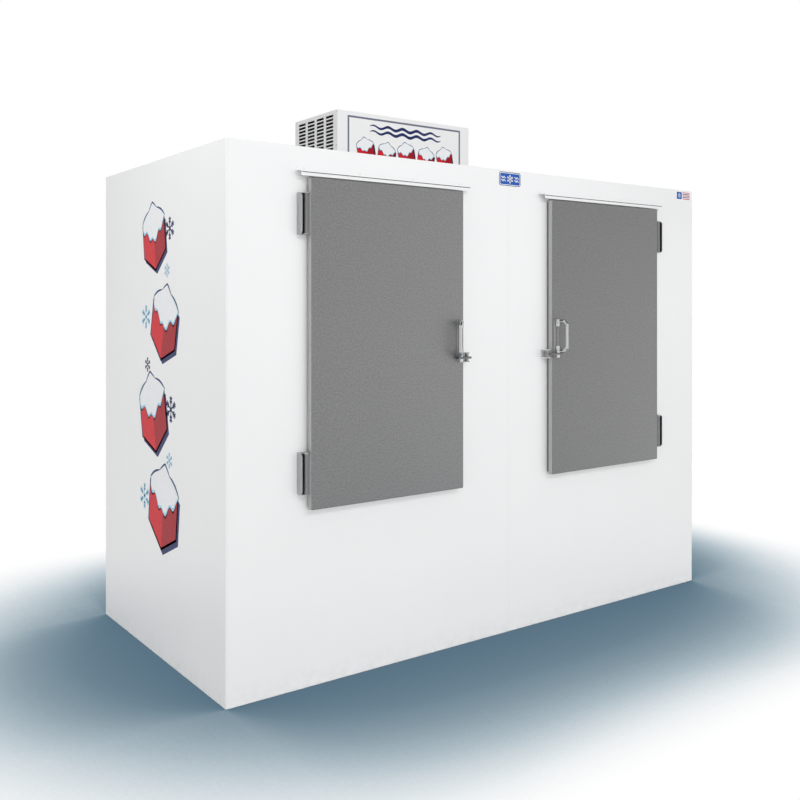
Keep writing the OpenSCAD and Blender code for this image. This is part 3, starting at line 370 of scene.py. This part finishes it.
# Painted shade: the housing's faces that look inwards are near-black.
HOUSING = enamel_with_painted_shade("housing_enamel", lambda made: made.inward((HOOD[0] + HOOD[1]) / 2))
STUCCO = stucco_sheet()
GALVANISED = galvanised("galvanised_sheet")
ZINC = brushed("satin_zinc", (0.5, 0.51, 0.52), 0.38)
SLEEVE = brushed("dull_zinc", (0.3, 0.3, 0.305), 0.5)
DULL_PIN = brushed("dull_pin_steel", (0.36, 0.36, 0.365), 0.45)
BOLT_STEEL = brushed("bolt_steel", (0.2, 0.2, 0.205), 0.4, "X")
ROLLER = brushed("roller_steel", (0.34, 0.34, 0.35), 0.3)
PLATE = latch_plate()
STRIKE = strike_steel()
# Painted shade: faces of the louvre hoods that look downwards are near-black.
LOUVRE = enamel_with_painted_shade("louvre_enamel", lambda made: made.remap(made.part(made.normal, "Z"), -0.05, -0.3))
# Painted shadow: near-black strips on the sheet under each louvre slot.
SLOT_SHADOW = moulded("painted_slot_shadow", (0.022, 0.022, 0.023), 0.9)
CHROME = chrome()
PIN_STEEL = brushed("turned_steel", (0.62, 0.62, 0.63), 0.26)
NYLON = moulded("black_nylon", (0.018, 0.018, 0.019), 0.5)
# Real gasket vinyl; it also inks the painted shadow line under the drip rails.
GASKET_AND_SHADOW_INK = moulded("gasket_vinyl_and_shadow_line", (0.075, 0.077, 0.08), 0.6)
BREAKER = moulded("breaker_plastic", (0.6, 0.6, 0.585), 0.5)
FOAM = foam()
LINER = enamel("liner_enamel", (0.8, 0.81, 0.82), 0.42)
RACK = brushed("mill_finish", (0.58, 0.59, 0.6), 0.44, "X")
WHITE_TUBE = moulded("white_tube", (0.8, 0.8, 0.77), 0.4)
BLACK_ENAMEL = powder("black_enamel", (0.02, 0.02, 0.022), 0.36)
RUBBER = moulded("mount_rubber", (0.025, 0.025, 0.025), 0.75)
FINS_Y = finned("condenser_fins", "Y", (0.045, 0.045, 0.047))
FINS_X = finned("evaporator_fins", "X", (0.7, 0.71, 0.72))
MOTOR_GREY = powder("motor_enamel", (0.07, 0.075, 0.08), 0.45)
FAN_GREY = moulded("fan_plastic", (0.34, 0.35, 0.36), 0.5)
COPPER = copper_tube()
BOX_GREY = powder("box_powder_coat", (0.27, 0.28, 0.29), 0.5)

INK_RED = print_ink("ink_red", (0.63, 0.012, 0.022))
INK_DARK_RED = print_ink("ink_dark_red", (0.36, 0.006, 0.016))
INK_NAVY = print_ink("ink_navy", (0.014, 0.024, 0.11))
INK_BLUE = print_ink("ink_blue", (0.02, 0.1, 0.42))
INK_PALE = print_ink("ink_pale_blue", (0.38, 0.66, 0.83))
INK_WHITE = print_ink("ink_white", (0.86, 0.88, 0.9))
INK_GREY = print_ink("ink_grey", (0.17, 0.18, 0.24))
SEALANT = moulded("seam_sealant", (0.76, 0.765, 0.77), 0.5)

SLOT_FINISH = {
    "white_sheet": WHITE, "door_sheet": STUCCO, "galvanised": GALVANISED, "hinge_steel": ZINC,
    "latch_chrome": CHROME, "pin_steel": PIN_STEEL, "black_nylon": NYLON, "gasket": GASKET_AND_SHADOW_INK,
    "breaker": BREAKER, "foam": FOAM, "liner": LINER, "rack": RACK, "white_tube": WHITE_TUBE,
    "black_enamel": BLACK_ENAMEL, "mount_rubber": RUBBER, "fins": FINS_X, "motor_grey": MOTOR_GREY,
    "fan_grey": FAN_GREY, "copper": COPPER, "box_grey": BOX_GREY, "sleeve_steel": SLEEVE,
}
NODE_FINISH = {
    "condenser_coil": FINS_Y, "unit_hood": HOUSING, "latch_pin_left": DULL_PIN, "latch_pin_right": DULL_PIN,
    "door_strikes": STRIKE, "strike_roller_left": ROLLER, "strike_roller_right": ROLLER,
    "latch_base_left": PLATE, "latch_base_right": PLATE,
    "latch_bolt_left": BOLT_STEEL, "latch_bolt_right": BOLT_STEEL,
}

for node_name, node in frame["nodes"].items():
    for place in node.material_slots:
        chosen = NODE_FINISH.get(node_name, SLOT_FINISH[place.material.name.split(".")[0]])
        place.material = chosen.material


# ---------- meshes ----------

def facing(out, origin):
    """A frame on an upright surface: x to the right and y up as seen from outside, z outwards."""
    out = Vector(out)
    up = Vector((0, 0, 1))
    right = up.cross(out)
    return Matrix.Translation(origin) @ Matrix((right, up, out)).transposed().to_4x4()


def lying(origin):
    """A frame on a level surface, with z up."""
    return Matrix.Translation(origin)


def link(name, data):
    """Adds an object with that data to the scene."""
    made = bpy.data.objects.new(name, data)
    bpy.context.scene.collection.objects.link(made)
    return made


def piece(name, mesh, body, slot, *finishes, smooth=False):
    """Makes an object of a bmesh. It rides on a body."""
    data = bpy.data.meshes.new(name)
    bmesh.ops.recalc_face_normals(mesh, faces=mesh.faces)
    for face in mesh.faces:
        face.smooth = smooth
    mesh.to_mesh(data)
    mesh.free()
    for finish in finishes:
        data.materials.append(finish.material)
    made = link(name, data)
    if smooth:
        data.set_sharp_from_angle(angle=math.radians(32))
    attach(made, body)
    return made


def loft(mesh, rings, closed=False, caps=True, ink=0):
    """Joins rings of points with faces."""
    rows = [[mesh.verts.new(p) for p in ring] for ring in rings]
    pairs = list(zip(rows, rows[1:]))
    if closed:
        pairs.append((rows[-1], rows[0]))
    faces = []
    for a, b in pairs:
        for i in range(len(a)):
            j = (i + 1) % len(a)
            faces.append(mesh.faces.new((a[i], a[j], b[j], b[i])))
    if caps and not closed:
        faces += [mesh.faces.new(rows[0][::-1]), mesh.faces.new(rows[-1])]
    for face in faces:
        face.material_index = ink
    return rows


def prism(mesh, at, outline, z0, z1, ink=0):
    """A plate with an outline of (x, y) points, from z0 to z1 in the frame at."""
    loft(mesh, [[at @ Vector((x, y, z)) for x, y in outline] for z in (z0, z1)], ink=ink)


def rounded(x0, x1, y0, y1, r, steps=6):
    """The outline of a rectangle with round corners."""
    points = []
    for i, (cx, cy) in enumerate(((x1 - r, y0 + r), (x1 - r, y1 - r), (x0 + r, y1 - r), (x0 + r, y0 + r))):
        for k in range(steps + 1):
            a = math.radians(-90 + 90 * i + 90 * k / steps)
            points.append((cx + r * math.cos(a), cy + r * math.sin(a)))
    return points


def band(mesh, at, outer, inner, z0, z1, ink=0):
    """A flat ring between two outlines with as many points."""
    rings = []
    for outline, z in ((outer, z0), (outer, z1), (inner, z1), (inner, z0)):
        rings.append([at @ Vector((x, y, z)) for x, y in outline])
    loft(mesh, rings, closed=True, ink=ink)


def circle(r, count=24):
    angles = [2 * math.pi * i / count for i in range(count)]
    return [(r * math.cos(a), r * math.sin(a)) for a in angles]


def tube(mesh, path, r, closed=False, count=8):
    """A round tube along a path of points."""
    points = [Vector(p) for p in path]
    last = len(points) - 1
    side = None
    rings = []
    for i, p in enumerate(points):
        a = points[i - 1] if i or closed else p
        b = points[(i + 1) % len(points)] if i < last or closed else p
        along = (b - a).normalized()
        if side is None:
            side = along.orthogonal()
        side = (side - along * side.dot(along)).normalized()
        other = along.cross(side)
        rings.append([p + x * side + y * other for x, y in circle(r, count)])
    loft(mesh, rings, closed=closed)


# ---------- louvres of the condensing unit ----------

LOUVRE_COLUMNS = 4
LOUVRE_ROWS = 15
SLOT_HEIGHT = 8 * MM
SLOT_PITCH = 15.7 * MM
SLOT_LAND = 19 * MM
SLOT_MARGIN = 34 * MM
SLOT_TOP = 18 * MM
BROW_OUT = 1.6 * MM
BROW_ROOT = 2.6 * MM
BROW_DROP = 0.2 * MM
SHEET = 0.9 * MM
SLOT_SHADOW_HEIGHT = 1.7 * MM
FILM = 0.05 * MM


def louvre_brow(mesh, at, width):
    """The pressed hood over one slot, and a painted shadow strip below it. The slot's top is x from 0 to
    width, at y 0.
    """
    taper = BROW_OUT
    section = [(BROW_ROOT, 0.0), (BROW_ROOT * 0.45, BROW_OUT * 0.62), (-BROW_DROP, BROW_OUT)]
    rings = []
    for share, x in ((0.0, 0.0), (1.0, taper), (1.0, width - taper), (0.0, width)):
        outer = [(y, z * share) for y, z in section]
        inner = [(y - SHEET * 0.7, z - SHEET * 0.7) for y, z in outer[::-1]]
        rings.append([at @ Vector((x, y, z)) for y, z in outer + inner])
    loft(mesh, rings)
    # Painted shadow: a thin near-black strip under the slot.
    top, bottom = -SLOT_HEIGHT, -SLOT_HEIGHT - SLOT_SHADOW_HEIGHT
    prism(mesh, at, [(0.0, bottom), (width, bottom), (width, top), (0.0, top)], 0.0, FILM, 1)


def louvres(name, out, x, from_y, towards):
    """All hoods of one side of the housing."""
    depth = HOOD[1].y - SIGN[0].y
    width = (depth - 2 * SLOT_MARGIN - (LOUVRE_COLUMNS - 1) * SLOT_LAND) / LOUVRE_COLUMNS
    mesh = bmesh.new()
    for column in range(LOUVRE_COLUMNS):
        for row in range(LOUVRE_ROWS):
            start = SLOT_MARGIN + column * (width + SLOT_LAND)
            z = HOOD[1].z - SLOT_TOP - row * SLOT_PITCH
            louvre_brow(mesh, facing(out, (x, from_y + towards * start, z)), width)
    return piece(name, mesh, "cabinet", "white_sheet", LOUVRE, SLOT_SHADOW)


louvres("louvres_left", (-1, 0, 0), HOOD[0].x, HOOD[1].y, -1)
louvres("louvres_right", (1, 0, 0), HOOD[1].x, SIGN[0].y, 1)


# ---------- printed designs ----------

INKS = (INK_RED, INK_DARK_RED, INK_NAVY, INK_BLUE, INK_PALE, INK_WHITE, INK_GREY)
RED, DARK_RED, NAVY, BLUE, PALE, SNOW, GREY = range(len(INKS))


def shape(mesh, at, outline, layer, ink):
    """One area of ink. Higher layers lie on lower ones."""
    prism(mesh, at, outline, 0.0, FILM * layer, ink)


def cube_corners(cx, cy, r, turn):
    """The six outer corners of a cube seen corner on, from the right of the top, anticlockwise."""
    angles = [math.radians(30 + 60 * k + turn) for k in range(6)]
    return [(cx + r * math.cos(a), cy + r * math.sin(a)) for a in angles]


def snow_cap(cx, cy, r, turn, over, drip):
    """The outline of snow on a cube's top: bumps above its back edges and drips below its front edges."""
    right, back, left = cube_corners(cx, cy, r, turn)[:3]
    steps = 12
    points = []
    for a, b, start in ((right, back, 0), (back, left, steps)):
        for k in range(steps):
            t = k / steps
            bump = over * (0.7 + 0.5 * abs(math.sin(math.pi * (start + k) / 8)))
            x, y = a[0] + (b[0] - a[0]) * t, a[1] + (b[1] - a[1]) * t
            away = math.hypot(x - cx, y - cy)
            points.append((x + (x - cx) / away * bump, y + (y - cy) / away * bump))
    middle = (cx, cy)
    for a, b, start in ((left, middle, 0), (middle, right, steps)):
        for k in range(steps):
            t = k / steps
            uneven = 0.6 + 0.4 * math.sin(start + k)
            fall = drip * (0.35 + abs(math.sin(math.pi * (start + k + 2) / 6.5)) * uneven)
            points.append((a[0] + (b[0] - a[0]) * t, a[1] + (b[1] - a[1]) * t - fall))
    return points


def ice_cube(mesh, at, cx, cy, r, turn):
    """A red cube with a navy shadow, a pale rim and snow on its top."""
    shift = 0.12 * r
    corners = cube_corners(cx, cy, r, turn)
    right, back, left, low_left, low, low_right = corners
    middle = (cx, cy)
    shape(mesh, at, cube_corners(cx + shift, cy - shift, 1.04 * r, turn), 1, NAVY)
    shape(mesh, at, cube_corners(cx, cy, 1.07 * r, turn), 1, NAVY)
    shape(mesh, at, snow_cap(cx, cy, r, turn, 0.15 * r, 0.21 * r), 2, NAVY)
    shape(mesh, at, [middle, left, low_left, low], 2, RED)
    shape(mesh, at, [middle, low, low_right, right], 2, DARK_RED)
    shape(mesh, at, snow_cap(cx, cy, r, turn, 0.1 * r, 0.17 * r), 3, PALE)
    shape(mesh, at, snow_cap(cx, cy + 0.05 * r, r, turn, 0.05 * r, 0.15 * r), 4, SNOW)


def flake(mesh, at, cx, cy, r, ink, layer=1):
    """A six-armed snow star with short side branches."""
    stroke = 0.075 * r
    for k in range(6):
        turn = Matrix.Rotation(math.radians(30 + 60 * k), 2)
        centre = Vector((cx, cy))

        def bar(x0, x1, y, lean):
            """A stroke along the arm, or leaning off it."""
            a = Vector((x0, y))
            b = Vector((x1, y + lean))
            n = (b - a).orthogonal().normalized() * stroke
            corners = [a + n, a - n, b - n, b + n]
            shape(mesh, at, [tuple(centre + turn @ p) for p in corners][::-1], layer, ink)

        bar(0.0, r, 0.0, 0.0)
        for start in (0.45, 0.7):
            for side in (-1, 1):
                bar(start * r, (start + 0.2) * r, 0.0, side * 0.22 * r)


def wave(x0, x1, y, rise, thick, length, steps=64):
    """The outline of a wavy line."""
    def edge(offset):
        points = []
        for i in range(steps + 1):
            x = x0 + (x1 - x0) * i / steps
            taper = math.sin(math.pi * i / steps) ** 0.4
            middle = y + rise * math.sin(2 * math.pi * (x - x0) / length)
            points.append((x, middle + offset * thick * taper / 2))
        return points
    return edge(-1) + edge(1)[::-1]


def side_print():
    """Snow-capped cubes and snow stars down the middle of the left side: place, radius, and turn or ink."""
    at = facing((-1, 0, 0), (LEFT_SIDE[0].x, 0, 0))
    mesh = bmesh.new()
    cubes = (
        (-0.035, 1.545, 0.118, 8), (0.06, 1.225, 0.13, -13),
        (-0.045, 0.89, 0.138, 12), (0.05, 0.55, 0.146, -7),
    )
    for x, z, r, turn in cubes:
        ice_cube(mesh, at, x, z, r, turn)
    flakes = (
        (0.115, 1.57, 0.042, NAVY), (-0.115, 1.25, 0.046, PALE), (0.125, 0.92, 0.048, NAVY),
        (-0.13, 0.57, 0.05, PALE), (0.09, 1.42, 0.026, PALE), (-0.1, 1.07, 0.028, NAVY),
        (0.11, 0.735, 0.03, PALE),
    )
    for x, z, r, ink in flakes:
        flake(mesh, at, x, z, r, ink)
    piece("side_print", mesh, "cabinet", "white_sheet", *INKS)


def sign_print():
    """A thin frame, wavy lines and a row of cubes on the condensing unit's front."""
    at = facing((0, -1, 0), (0, SIGN[0].y, 0))
    inset_x = 52 * MM
    inset_z = 18 * MM
    line = 8.5 * MM
    x1 = SIGN[1].x - inset_x
    z0 = SIGN[0].z + inset_z
    z1 = SIGN[1].z - inset_z
    outer = rounded(-x1, x1, z0, z1, 2 * MM)
    inner = rounded(-x1 + line, x1 - line, z0 + line, z1 - line, 1 * MM)
    count, step, radius, row_z = 5, 0.11, 0.05, z0 + 0.125
    mesh = bmesh.new()
    band(mesh, at, outer, inner, 0.0, FILM, GREY)
    for drop in (0.036, 0.06):
        shape(mesh, at, wave(-0.2, 0.2, z1 - drop, 0.006, 0.014, 0.08), 1, NAVY)
    for k in range(count):
        odd = k % 2
        ice_cube(mesh, at, (k - (count - 1) / 2) * step, row_z - 0.01 * odd, radius, 10 - 20 * odd)
    piece("sign_print", mesh, "cabinet", "white_sheet", *INKS)


def front_badge():
    """A blue plate with a snow star and two waves, between the doors' upper corners."""
    at = facing((0, -1, 0), (34 * MM, FRONT_Y, 1794 * MM))
    mesh = bmesh.new()
    w, h = 57 * MM, 27 * MM
    thick = 0.6 * MM
    rim, line = 2.5 * MM, 5 * MM
    prism(mesh, at, rounded(-w, w, -h, h, 9 * MM), 0.0, thick, NAVY)
    star = at @ Matrix.Translation((0, 0, thick))
    shape(mesh, star, rounded(-w + rim, w - rim, -h + rim, h - rim, 7 * MM), 1, SNOW)
    shape(mesh, star, rounded(-w + line, w - line, -h + line, h - line, 5 * MM), 2, BLUE)
    flake(mesh, star, 0.0, 0.0, 17 * MM, SNOW, 3)
    length = 13 * MM
    for side in (-1, 1):
        middle = side * 35 * MM
        for y in (-6 * MM, 6 * MM):
            shape(mesh, star, wave(middle - length, middle + length, y, 3 * MM, 5 * MM, length, 24), 3, SNOW)
    piece("front_badge", mesh, "cabinet", "white_sheet", *INKS)


def front_label():
    """A small film with plain coloured bars, in the front's upper right corner."""
    at = facing((0, -1, 0), (1128 * MM, FRONT_Y, 1804 * MM))
    mesh = bmesh.new()
    w, h = 54 * MM, 20 * MM
    shape(mesh, at, rounded(-w, w, -h, h, 3 * MM), 1, SNOW)
    bars = 5
    step = 2 * h / (2 * bars + 1)
    for k in range(bars):
        z = -h + (2 * k + 1) * step
        shape(mesh, at, rounded(-w * 0.1, w * 0.88, z, z + step, 1 * MM, 2), 2, RED if k % 2 == 0 else NAVY)
    shape(mesh, at, rounded(-w * 0.88, -w * 0.2, -h + step, h - step, 2 * MM, 3), 2, BLUE)
    flake(mesh, at, -w * 0.54, 0.0, 11 * MM, SNOW, 3)
    piece("front_label", mesh, "cabinet", "white_sheet", *INKS)


side_print()
sign_print()
front_badge()
front_label()


# ---------- weather strips under the drip rails ----------

RAIL_LENGTH = 745 * MM
RAIL_OUT = 36 * MM
RAIL_SLOPE = 5 / 36
RAIL_LIP_Z = 1742 * MM


def rail_strips():
    """A white strip that closes the gap behind each drip rail's lip, and a painted shadow: a dark line under
    the lip.
    """
    front, back = RAIL_OUT - 5.5 * MM, RAIL_OUT - 7.5 * MM
    bottom = LEFT_DOOR[1].z + 2.5 * MM
    inset, shadow_line_inset = 4 * MM, 5 * MM
    shadow_line_z = RAIL_LIP_Z - 3.4 * MM
    shadow_line = 2.2 * MM
    section = [(front, bottom), (front, RAIL_LIP_Z + (RAIL_OUT - front) * RAIL_SLOPE),
               (back, RAIL_LIP_Z + (RAIL_OUT - back) * RAIL_SLOPE), (back, bottom + 1.5 * MM),
               (back + 0.6 * MM, bottom)]
    mesh = bmesh.new()
    at = facing((0, -1, 0), (0, FRONT_Y - front, 0))
    for start in (RAILS[0].x, RAILS[1].x - RAIL_LENGTH):
        end = start + RAIL_LENGTH
        loft(mesh, [[Vector((x, FRONT_Y - y, z)) for y, z in section] for x in (start + inset, end - inset)])
        # Painted shadow: a thin dark film just under each rail's lip.
        outline = rounded(start + shadow_line_inset, end - shadow_line_inset, shadow_line_z, shadow_line_z + shadow_line, 0.5 * MM, 2)
        prism(mesh, at, outline, 0.0, 0.4 * MM, 1)
    piece("rail_strips", mesh, "cabinet", "white_sheet", WHITE, GASKET_AND_SHADOW_INK)


rail_strips()


# ---------- seams and fasteners ----------

def seams():
    """Lines of sealant where the sheets meet."""
    thick = 0.25 * MM
    z0, z1 = FRONT[0].z, FRONT[1].z
    mesh = bmesh.new()
    front = facing((0, -1, 0), (0, FRONT_Y, 0))
    back = facing((0, 1, 0), (0, BACK_Y, 0))
    for x in (SEAM_X, FRONT_EDGE_X, -FRONT_EDGE_X):
        prism(mesh, front, rounded(x - 0.6 * MM, x + 0.6 * MM, z0, z1, 0.5 * MM, 2), 0.0, thick)
    for x in (-FRONT_EDGE_X, FRONT_EDGE_X):
        prism(mesh, back, rounded(x - 0.6 * MM, x + 0.6 * MM, z0, z1, 0.5 * MM, 2), 0.0, thick)
    piece("sheet_seams", mesh, "cabinet", "white_sheet", SEALANT)


def screw(mesh, at, r=4.5 * MM, h=1.6 * MM, ink=0):
    """A round-topped screw head with a cross recess."""
    arm, half, deep = 0.45 * r, 0.11 * r, 0.45 * h
    rings = [[at @ Vector((x, y, z)) for x, y in circle(k, 24)]
             for k, z in ((r, 0.0), (r, 0.35 * h), (0.88 * r, 0.68 * h), (0.62 * r, 0.92 * h))]
    rows = loft(mesh, rings, caps=False, ink=ink)
    cross = []
    for k in range(4):
        turn = Matrix.Rotation(math.pi / 2 * k, 2)
        for p in ((half, -half), (arm, -half), (arm, half)):
            cross.append(turn @ Vector(p))
    rings = [[at @ Vector((p.x, p.y, z)) for p in cross] for z in (h, h - deep)]
    walls = loft(mesh, rings, caps=False, ink=ink)
    mesh.faces.new(walls[-1]).material_index = ink
    edges = [mesh.edges.get((row[i], row[(i + 1) % len(row)]))
             for row in (rows[-1], walls[0]) for i in range(len(row))]
    made = bmesh.ops.bridge_loops(mesh, edges=edges)
    for face in made["faces"]:
        face.material_index = ink


HINGE_MIDDLES = (729 * MM, 1601 * MM)
HINGE_SCREW = 35 * MM


def rail_screw_places():
    """The screws of both drip rails."""
    inset = 30 * MM
    count = 4
    z = RAILS[1].z - 7 * MM
    y = FRONT_Y - 1.5 * MM
    for start in (RAILS[0].x, RAILS[1].x - RAIL_LENGTH):
        for k in range(count):
            yield start + inset + k * (RAIL_LENGTH - 2 * inset) / (count - 1), y, z


def cabinet_screws():
    """Rounded screw heads in the drip rails and hinge brackets."""
    mesh = bmesh.new()
    white, steel = 0, 1
    for place in rail_screw_places():
        screw(mesh, facing((0, -1, 0), place), ink=white)
    y = FRONT_Y - 2.5 * MM
    pin_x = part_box("hinge_pins")[1].x - 5.5 * MM
    for x in (-pin_x, pin_x):
        for middle in HINGE_MIDDLES:
            for z in (middle - HINGE_SCREW, middle + HINGE_SCREW):
                screw(mesh, facing((0, -1, 0), (x, y, z)), ink=steel)
    made = piece("screw_heads", mesh, "cabinet", "galvanised", WHITE, PIN_STEEL, smooth=True)
    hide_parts("cabinet_screws")


def hood_screws():
    """Small screws that hold the condensing unit's housing and the back sheet."""
    mesh = bmesh.new()
    small = 3.6 * MM
    flat = 1.3 * MM
    flush = 0.25 * MM
    low, high = HOOD
    foot = low.z + 10 * MM
    middle = (SIGN[0].y + high.y) / 2
    for side in (-1, 1):
        x = high.x * side
        for y in (SIGN[0].y + 8 * MM, high.y - 10 * MM):
            for z in (low.z + 12 * MM, (low.z + high.z) / 2, high.z - 9 * MM):
                screw(mesh, facing((side, 0, 0), (x, y, z)), small, flat)
        screw(mesh, facing((side, 0, 0), (x, middle, foot)), small, flat)
    across, pitch = 5, 150 * MM
    for k in range(across):
        x = (k - (across - 1) / 2) * pitch
        screw(mesh, lying((x, SIGN[0].y + 8 * MM, high.z)), small, flush)
        screw(mesh, facing((0, 1, 0), (x, high.y, foot)), small, flat)
    rows, lowest, pitch, inset = 7, 50 * MM, 288 * MM, 22 * MM
    for k in range(rows):
        for x in (-SIDE_X + inset, 0.0, SIDE_X - inset):
            screw(mesh, facing((0, 1, 0), (x, BACK_Y, lowest + k * pitch)), small, flush)
    piece("sheet_screws", mesh, "cabinet", "galvanised", PIN_STEEL, smooth=True)


seams()
cabinet_screws()
hood_screws()


# ---------- inside ----------

def fan_guards():
    """Wire guards in front of the evaporator fans."""
    mesh = bmesh.new()
    wire = 1.6 * MM
    gap = 6 * MM
    for fan in ("evaporator_fan_left", "evaporator_fan_right"):
        low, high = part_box(fan)
        centre = (low + high) / 2
        y = EVAPORATOR[0].y - gap
        for r in (24 * MM, 48 * MM, 72 * MM, 94 * MM):
            ring = [(centre.x + a, y, centre.z + b) for a, b in circle(r, 40)]
            tube(mesh, ring, wire, closed=True, count=6)
        for k in range(4):
            a = math.radians(45 + 90 * k)
            ends = [(centre.x + r * math.cos(a), y + drop, centre.z + r * math.sin(a))
                    for r, drop in ((20 * MM, -wire), (96 * MM, -wire), (100 * MM, gap))]
            tube(mesh, ends, wire, count=6)
    piece("fan_guards", mesh, "cabinet", "galvanised", PIN_STEEL, smooth=True)


fan_guards()


# ---------- stage ----------

def light_path_mix(tree, plain, shown):
    """Mixes in the shader that only the camera and mirror or glass rays see."""
    path = tree.nodes.new("ShaderNodeLightPath")
    total = path.outputs["Is Camera Ray"]
    for name in ("Is Glossy Ray", "Is Transmission Ray"):
        add = tree.nodes.new("ShaderNodeMath")
        add.operation = "MAXIMUM"
        tree.links.new(total, add.inputs[0])
        tree.links.new(path.outputs[name], add.inputs[1])
        total = add.outputs[0]
    mix = tree.nodes.new("ShaderNodeMixShader")
    tree.links.new(total, mix.inputs["Fac"])
    tree.links.new(plain, mix.inputs[1])
    tree.links.new(shown, mix.inputs[2])
    return mix.outputs["Shader"]


def stage_piece(name, mesh, material):
    """Makes an object of a bmesh that isn't part of the merchandiser."""
    data = bpy.data.meshes.new(name)
    bmesh.ops.recalc_face_normals(mesh, faces=mesh.faces)
    mesh.to_mesh(data)
    mesh.free()
    data.materials.append(material)
    made = link(name, data)
    return made


def world():
    """Soft light from all round, in front of a white background."""
    ambient = 0.51
    made = bpy.data.worlds.new("studio")
    made.use_nodes = True
    tree = made.node_tree
    soft = tree.nodes["Background"]
    soft.inputs["Color"].default_value = (1, 1, 1, 1)
    soft.inputs["Strength"].default_value = ambient
    white = tree.nodes.new("ShaderNodeBackground")
    white.inputs["Color"].default_value = (1, 1, 1, 1)
    white.inputs["Strength"].default_value = 1.0
    mixed = light_path_mix(tree, soft.outputs[0], white.outputs[0])
    tree.links.new(mixed, tree.nodes["World Output"].inputs["Surface"])
    bpy.context.scene.world = made


def floor():
    """A pale floor that keeps a deep, soft, bluish shadow under the object and fades into the background."""
    half = 60.0
    shade = 0.8
    reach = 1.04
    tones = (
        (0.5, (0.1, 0.17, 0.23)), (0.68, (0.14, 0.22, 0.28)), (0.8, (0.25, 0.335, 0.39)),
        (0.87, (0.41, 0.5, 0.555)), (0.93, (0.67, 0.73, 0.765)), (0.97, (0.88, 0.905, 0.915)),
        (1.0, (1, 1, 1)),
    )
    mesh = bmesh.new()
    corners = [(-half, -half), (half, -half), (half, half), (-half, half)]
    prism(mesh, lying((0, 0, 0)), corners, -0.02, 0.0)
    material = bpy.data.materials.new("pale_floor")
    material.use_nodes = True
    tree = material.node_tree
    shader = tree.nodes["Principled BSDF"]
    shader.inputs["Base Color"].default_value = (shade, shade, shade, 1)
    shader.inputs["Roughness"].default_value = 0.9
    shader.inputs["Specular IOR Level"].default_value = 0.0
    openness = tree.nodes.new("ShaderNodeAmbientOcclusion")
    openness.samples = 32
    openness.inputs["Distance"].default_value = reach
    ramp = tree.nodes.new("ShaderNodeValToRGB")
    stops = ramp.color_ramp.elements
    while len(stops) < len(tones):
        stops.new(1.0)
    for stop, (at, color) in zip(stops, tones):
        stop.position = at
        stop.color = (*color, 1)
    glow = tree.nodes.new("ShaderNodeEmission")
    tree.links.new(openness.outputs["AO"], ramp.inputs["Fac"])
    tree.links.new(ramp.outputs["Color"], glow.inputs["Color"])
    mixed = light_path_mix(tree, shader.outputs[0], glow.outputs[0])
    tree.links.new(mixed, tree.nodes["Material Output"].inputs["Surface"])
    stage_piece("floor", mesh, material)


def lamp(name, place, target, width, height, power):
    """A soft light aimed at a point. Metal doesn't mirror it: metal mirrors the white background."""
    light = bpy.data.lights.new(name, "AREA")
    light.shape = "RECTANGLE"
    light.size = width
    light.size_y = height
    light.energy = power
    made = link(name, light)
    made.location = place
    made.rotation_euler = (Vector(target) - Vector(place)).to_track_quat("-Z", "Y").to_euler()
    made.visible_glossy = False
    made.visible_camera = False


def dark_panel(name, place, target, width, height):
    """A dark studio panel that only mirror rays see, so that metal shows contrast."""
    turn = (Vector(target) - Vector(place)).to_track_quat("Z", "Y")
    at = Matrix.Translation(place) @ turn.to_matrix().to_4x4()
    mesh = bmesh.new()
    prism(mesh, at, rounded(-width / 2, width / 2, -height / 2, height / 2, 0.3), 0.0, 0.02)
    material = bpy.data.materials.new(name)
    material.use_nodes = True
    material.node_tree.nodes["Principled BSDF"].inputs["Base Color"].default_value = (0.01, 0.01, 0.01, 1)
    made = stage_piece(name, mesh, material)
    made.visible_camera = False
    made.visible_diffuse = False
    made.visible_shadow = False
    made.visible_transmission = False


def camera():
    """The photograph's viewpoint: level, with the picture shifted down."""
    heading = math.radians(36.097)
    data = bpy.data.cameras.new("camera")
    data.sensor_width = 36.0
    data.lens = 41.919
    data.shift_y = -0.11768
    data.clip_end = 200.0
    made = link("camera", data)
    made.location = (-2.4971, -3.3058, 1.2915)
    made.rotation_euler = (math.radians(90), 0, -heading)
    bpy.context.scene.camera = made


world()
floor()
lamp("key", (5.0, -6.5, 1.25), (0.2, 0, 1.0), 6.0, 1.6, 81)
lamp("key_left", (-2.2, -6.0, 1.4), (-0.4, 0, 1.0), 4.0, 1.6, 56)
lamp("upper", (-0.4, -4.3, 3.3), (0.1, 0, 2.2), 3.0, 0.8, 46)
lamp("fill", (-5.0, -0.4, 0.35), (-1.2, 0, 0.2), 3.0, 0.6, 28)
lamp("top_fill", (-2.1, -0.5, 2.4), (-1.2, -0.3, 1.7), 1.2, 0.5, 4.6)
lamp("right_fill", (7.2, 0.8, 1.6), (1.2, 0.4, 1.0), 3.0, 2.0, 95)
lamp("back_fill", (0.3, 6.6, 1.6), (0.0, 0.6, 1.0), 5.0, 2.0, 95)
dark_panel("panel_right", (4.6, -0.9, 1.3), (0.3, -0.6, 1.2), 2.0, 3.0)
dark_panel("panel_over", (3.0, -1.2, 4.4), (0.3, -0.7, 1.2), 5.0, 7.0)
dark_panel("panel_behind", (-3.9, -4.7, 2.6), (0.3, -0.7, 1.2), 1.5, 5.2)
dark_panel("panel_above", (-1.9, -2.8, 5.4), (0.3, -0.7, 1.2), 1.5, 4.5)
dark_panel("panel_front", (0.7, -4.6, 4.2), (0.3, -0.7, 1.2), 2.2, 1.4)
dark_panel("panel_low", (0.45, -2.2, 0.03), (0.45, -2.2, 1.0), 1.0, 0.9)
camera()
bpy.context.scene.view_settings.view_transform = "Standard"
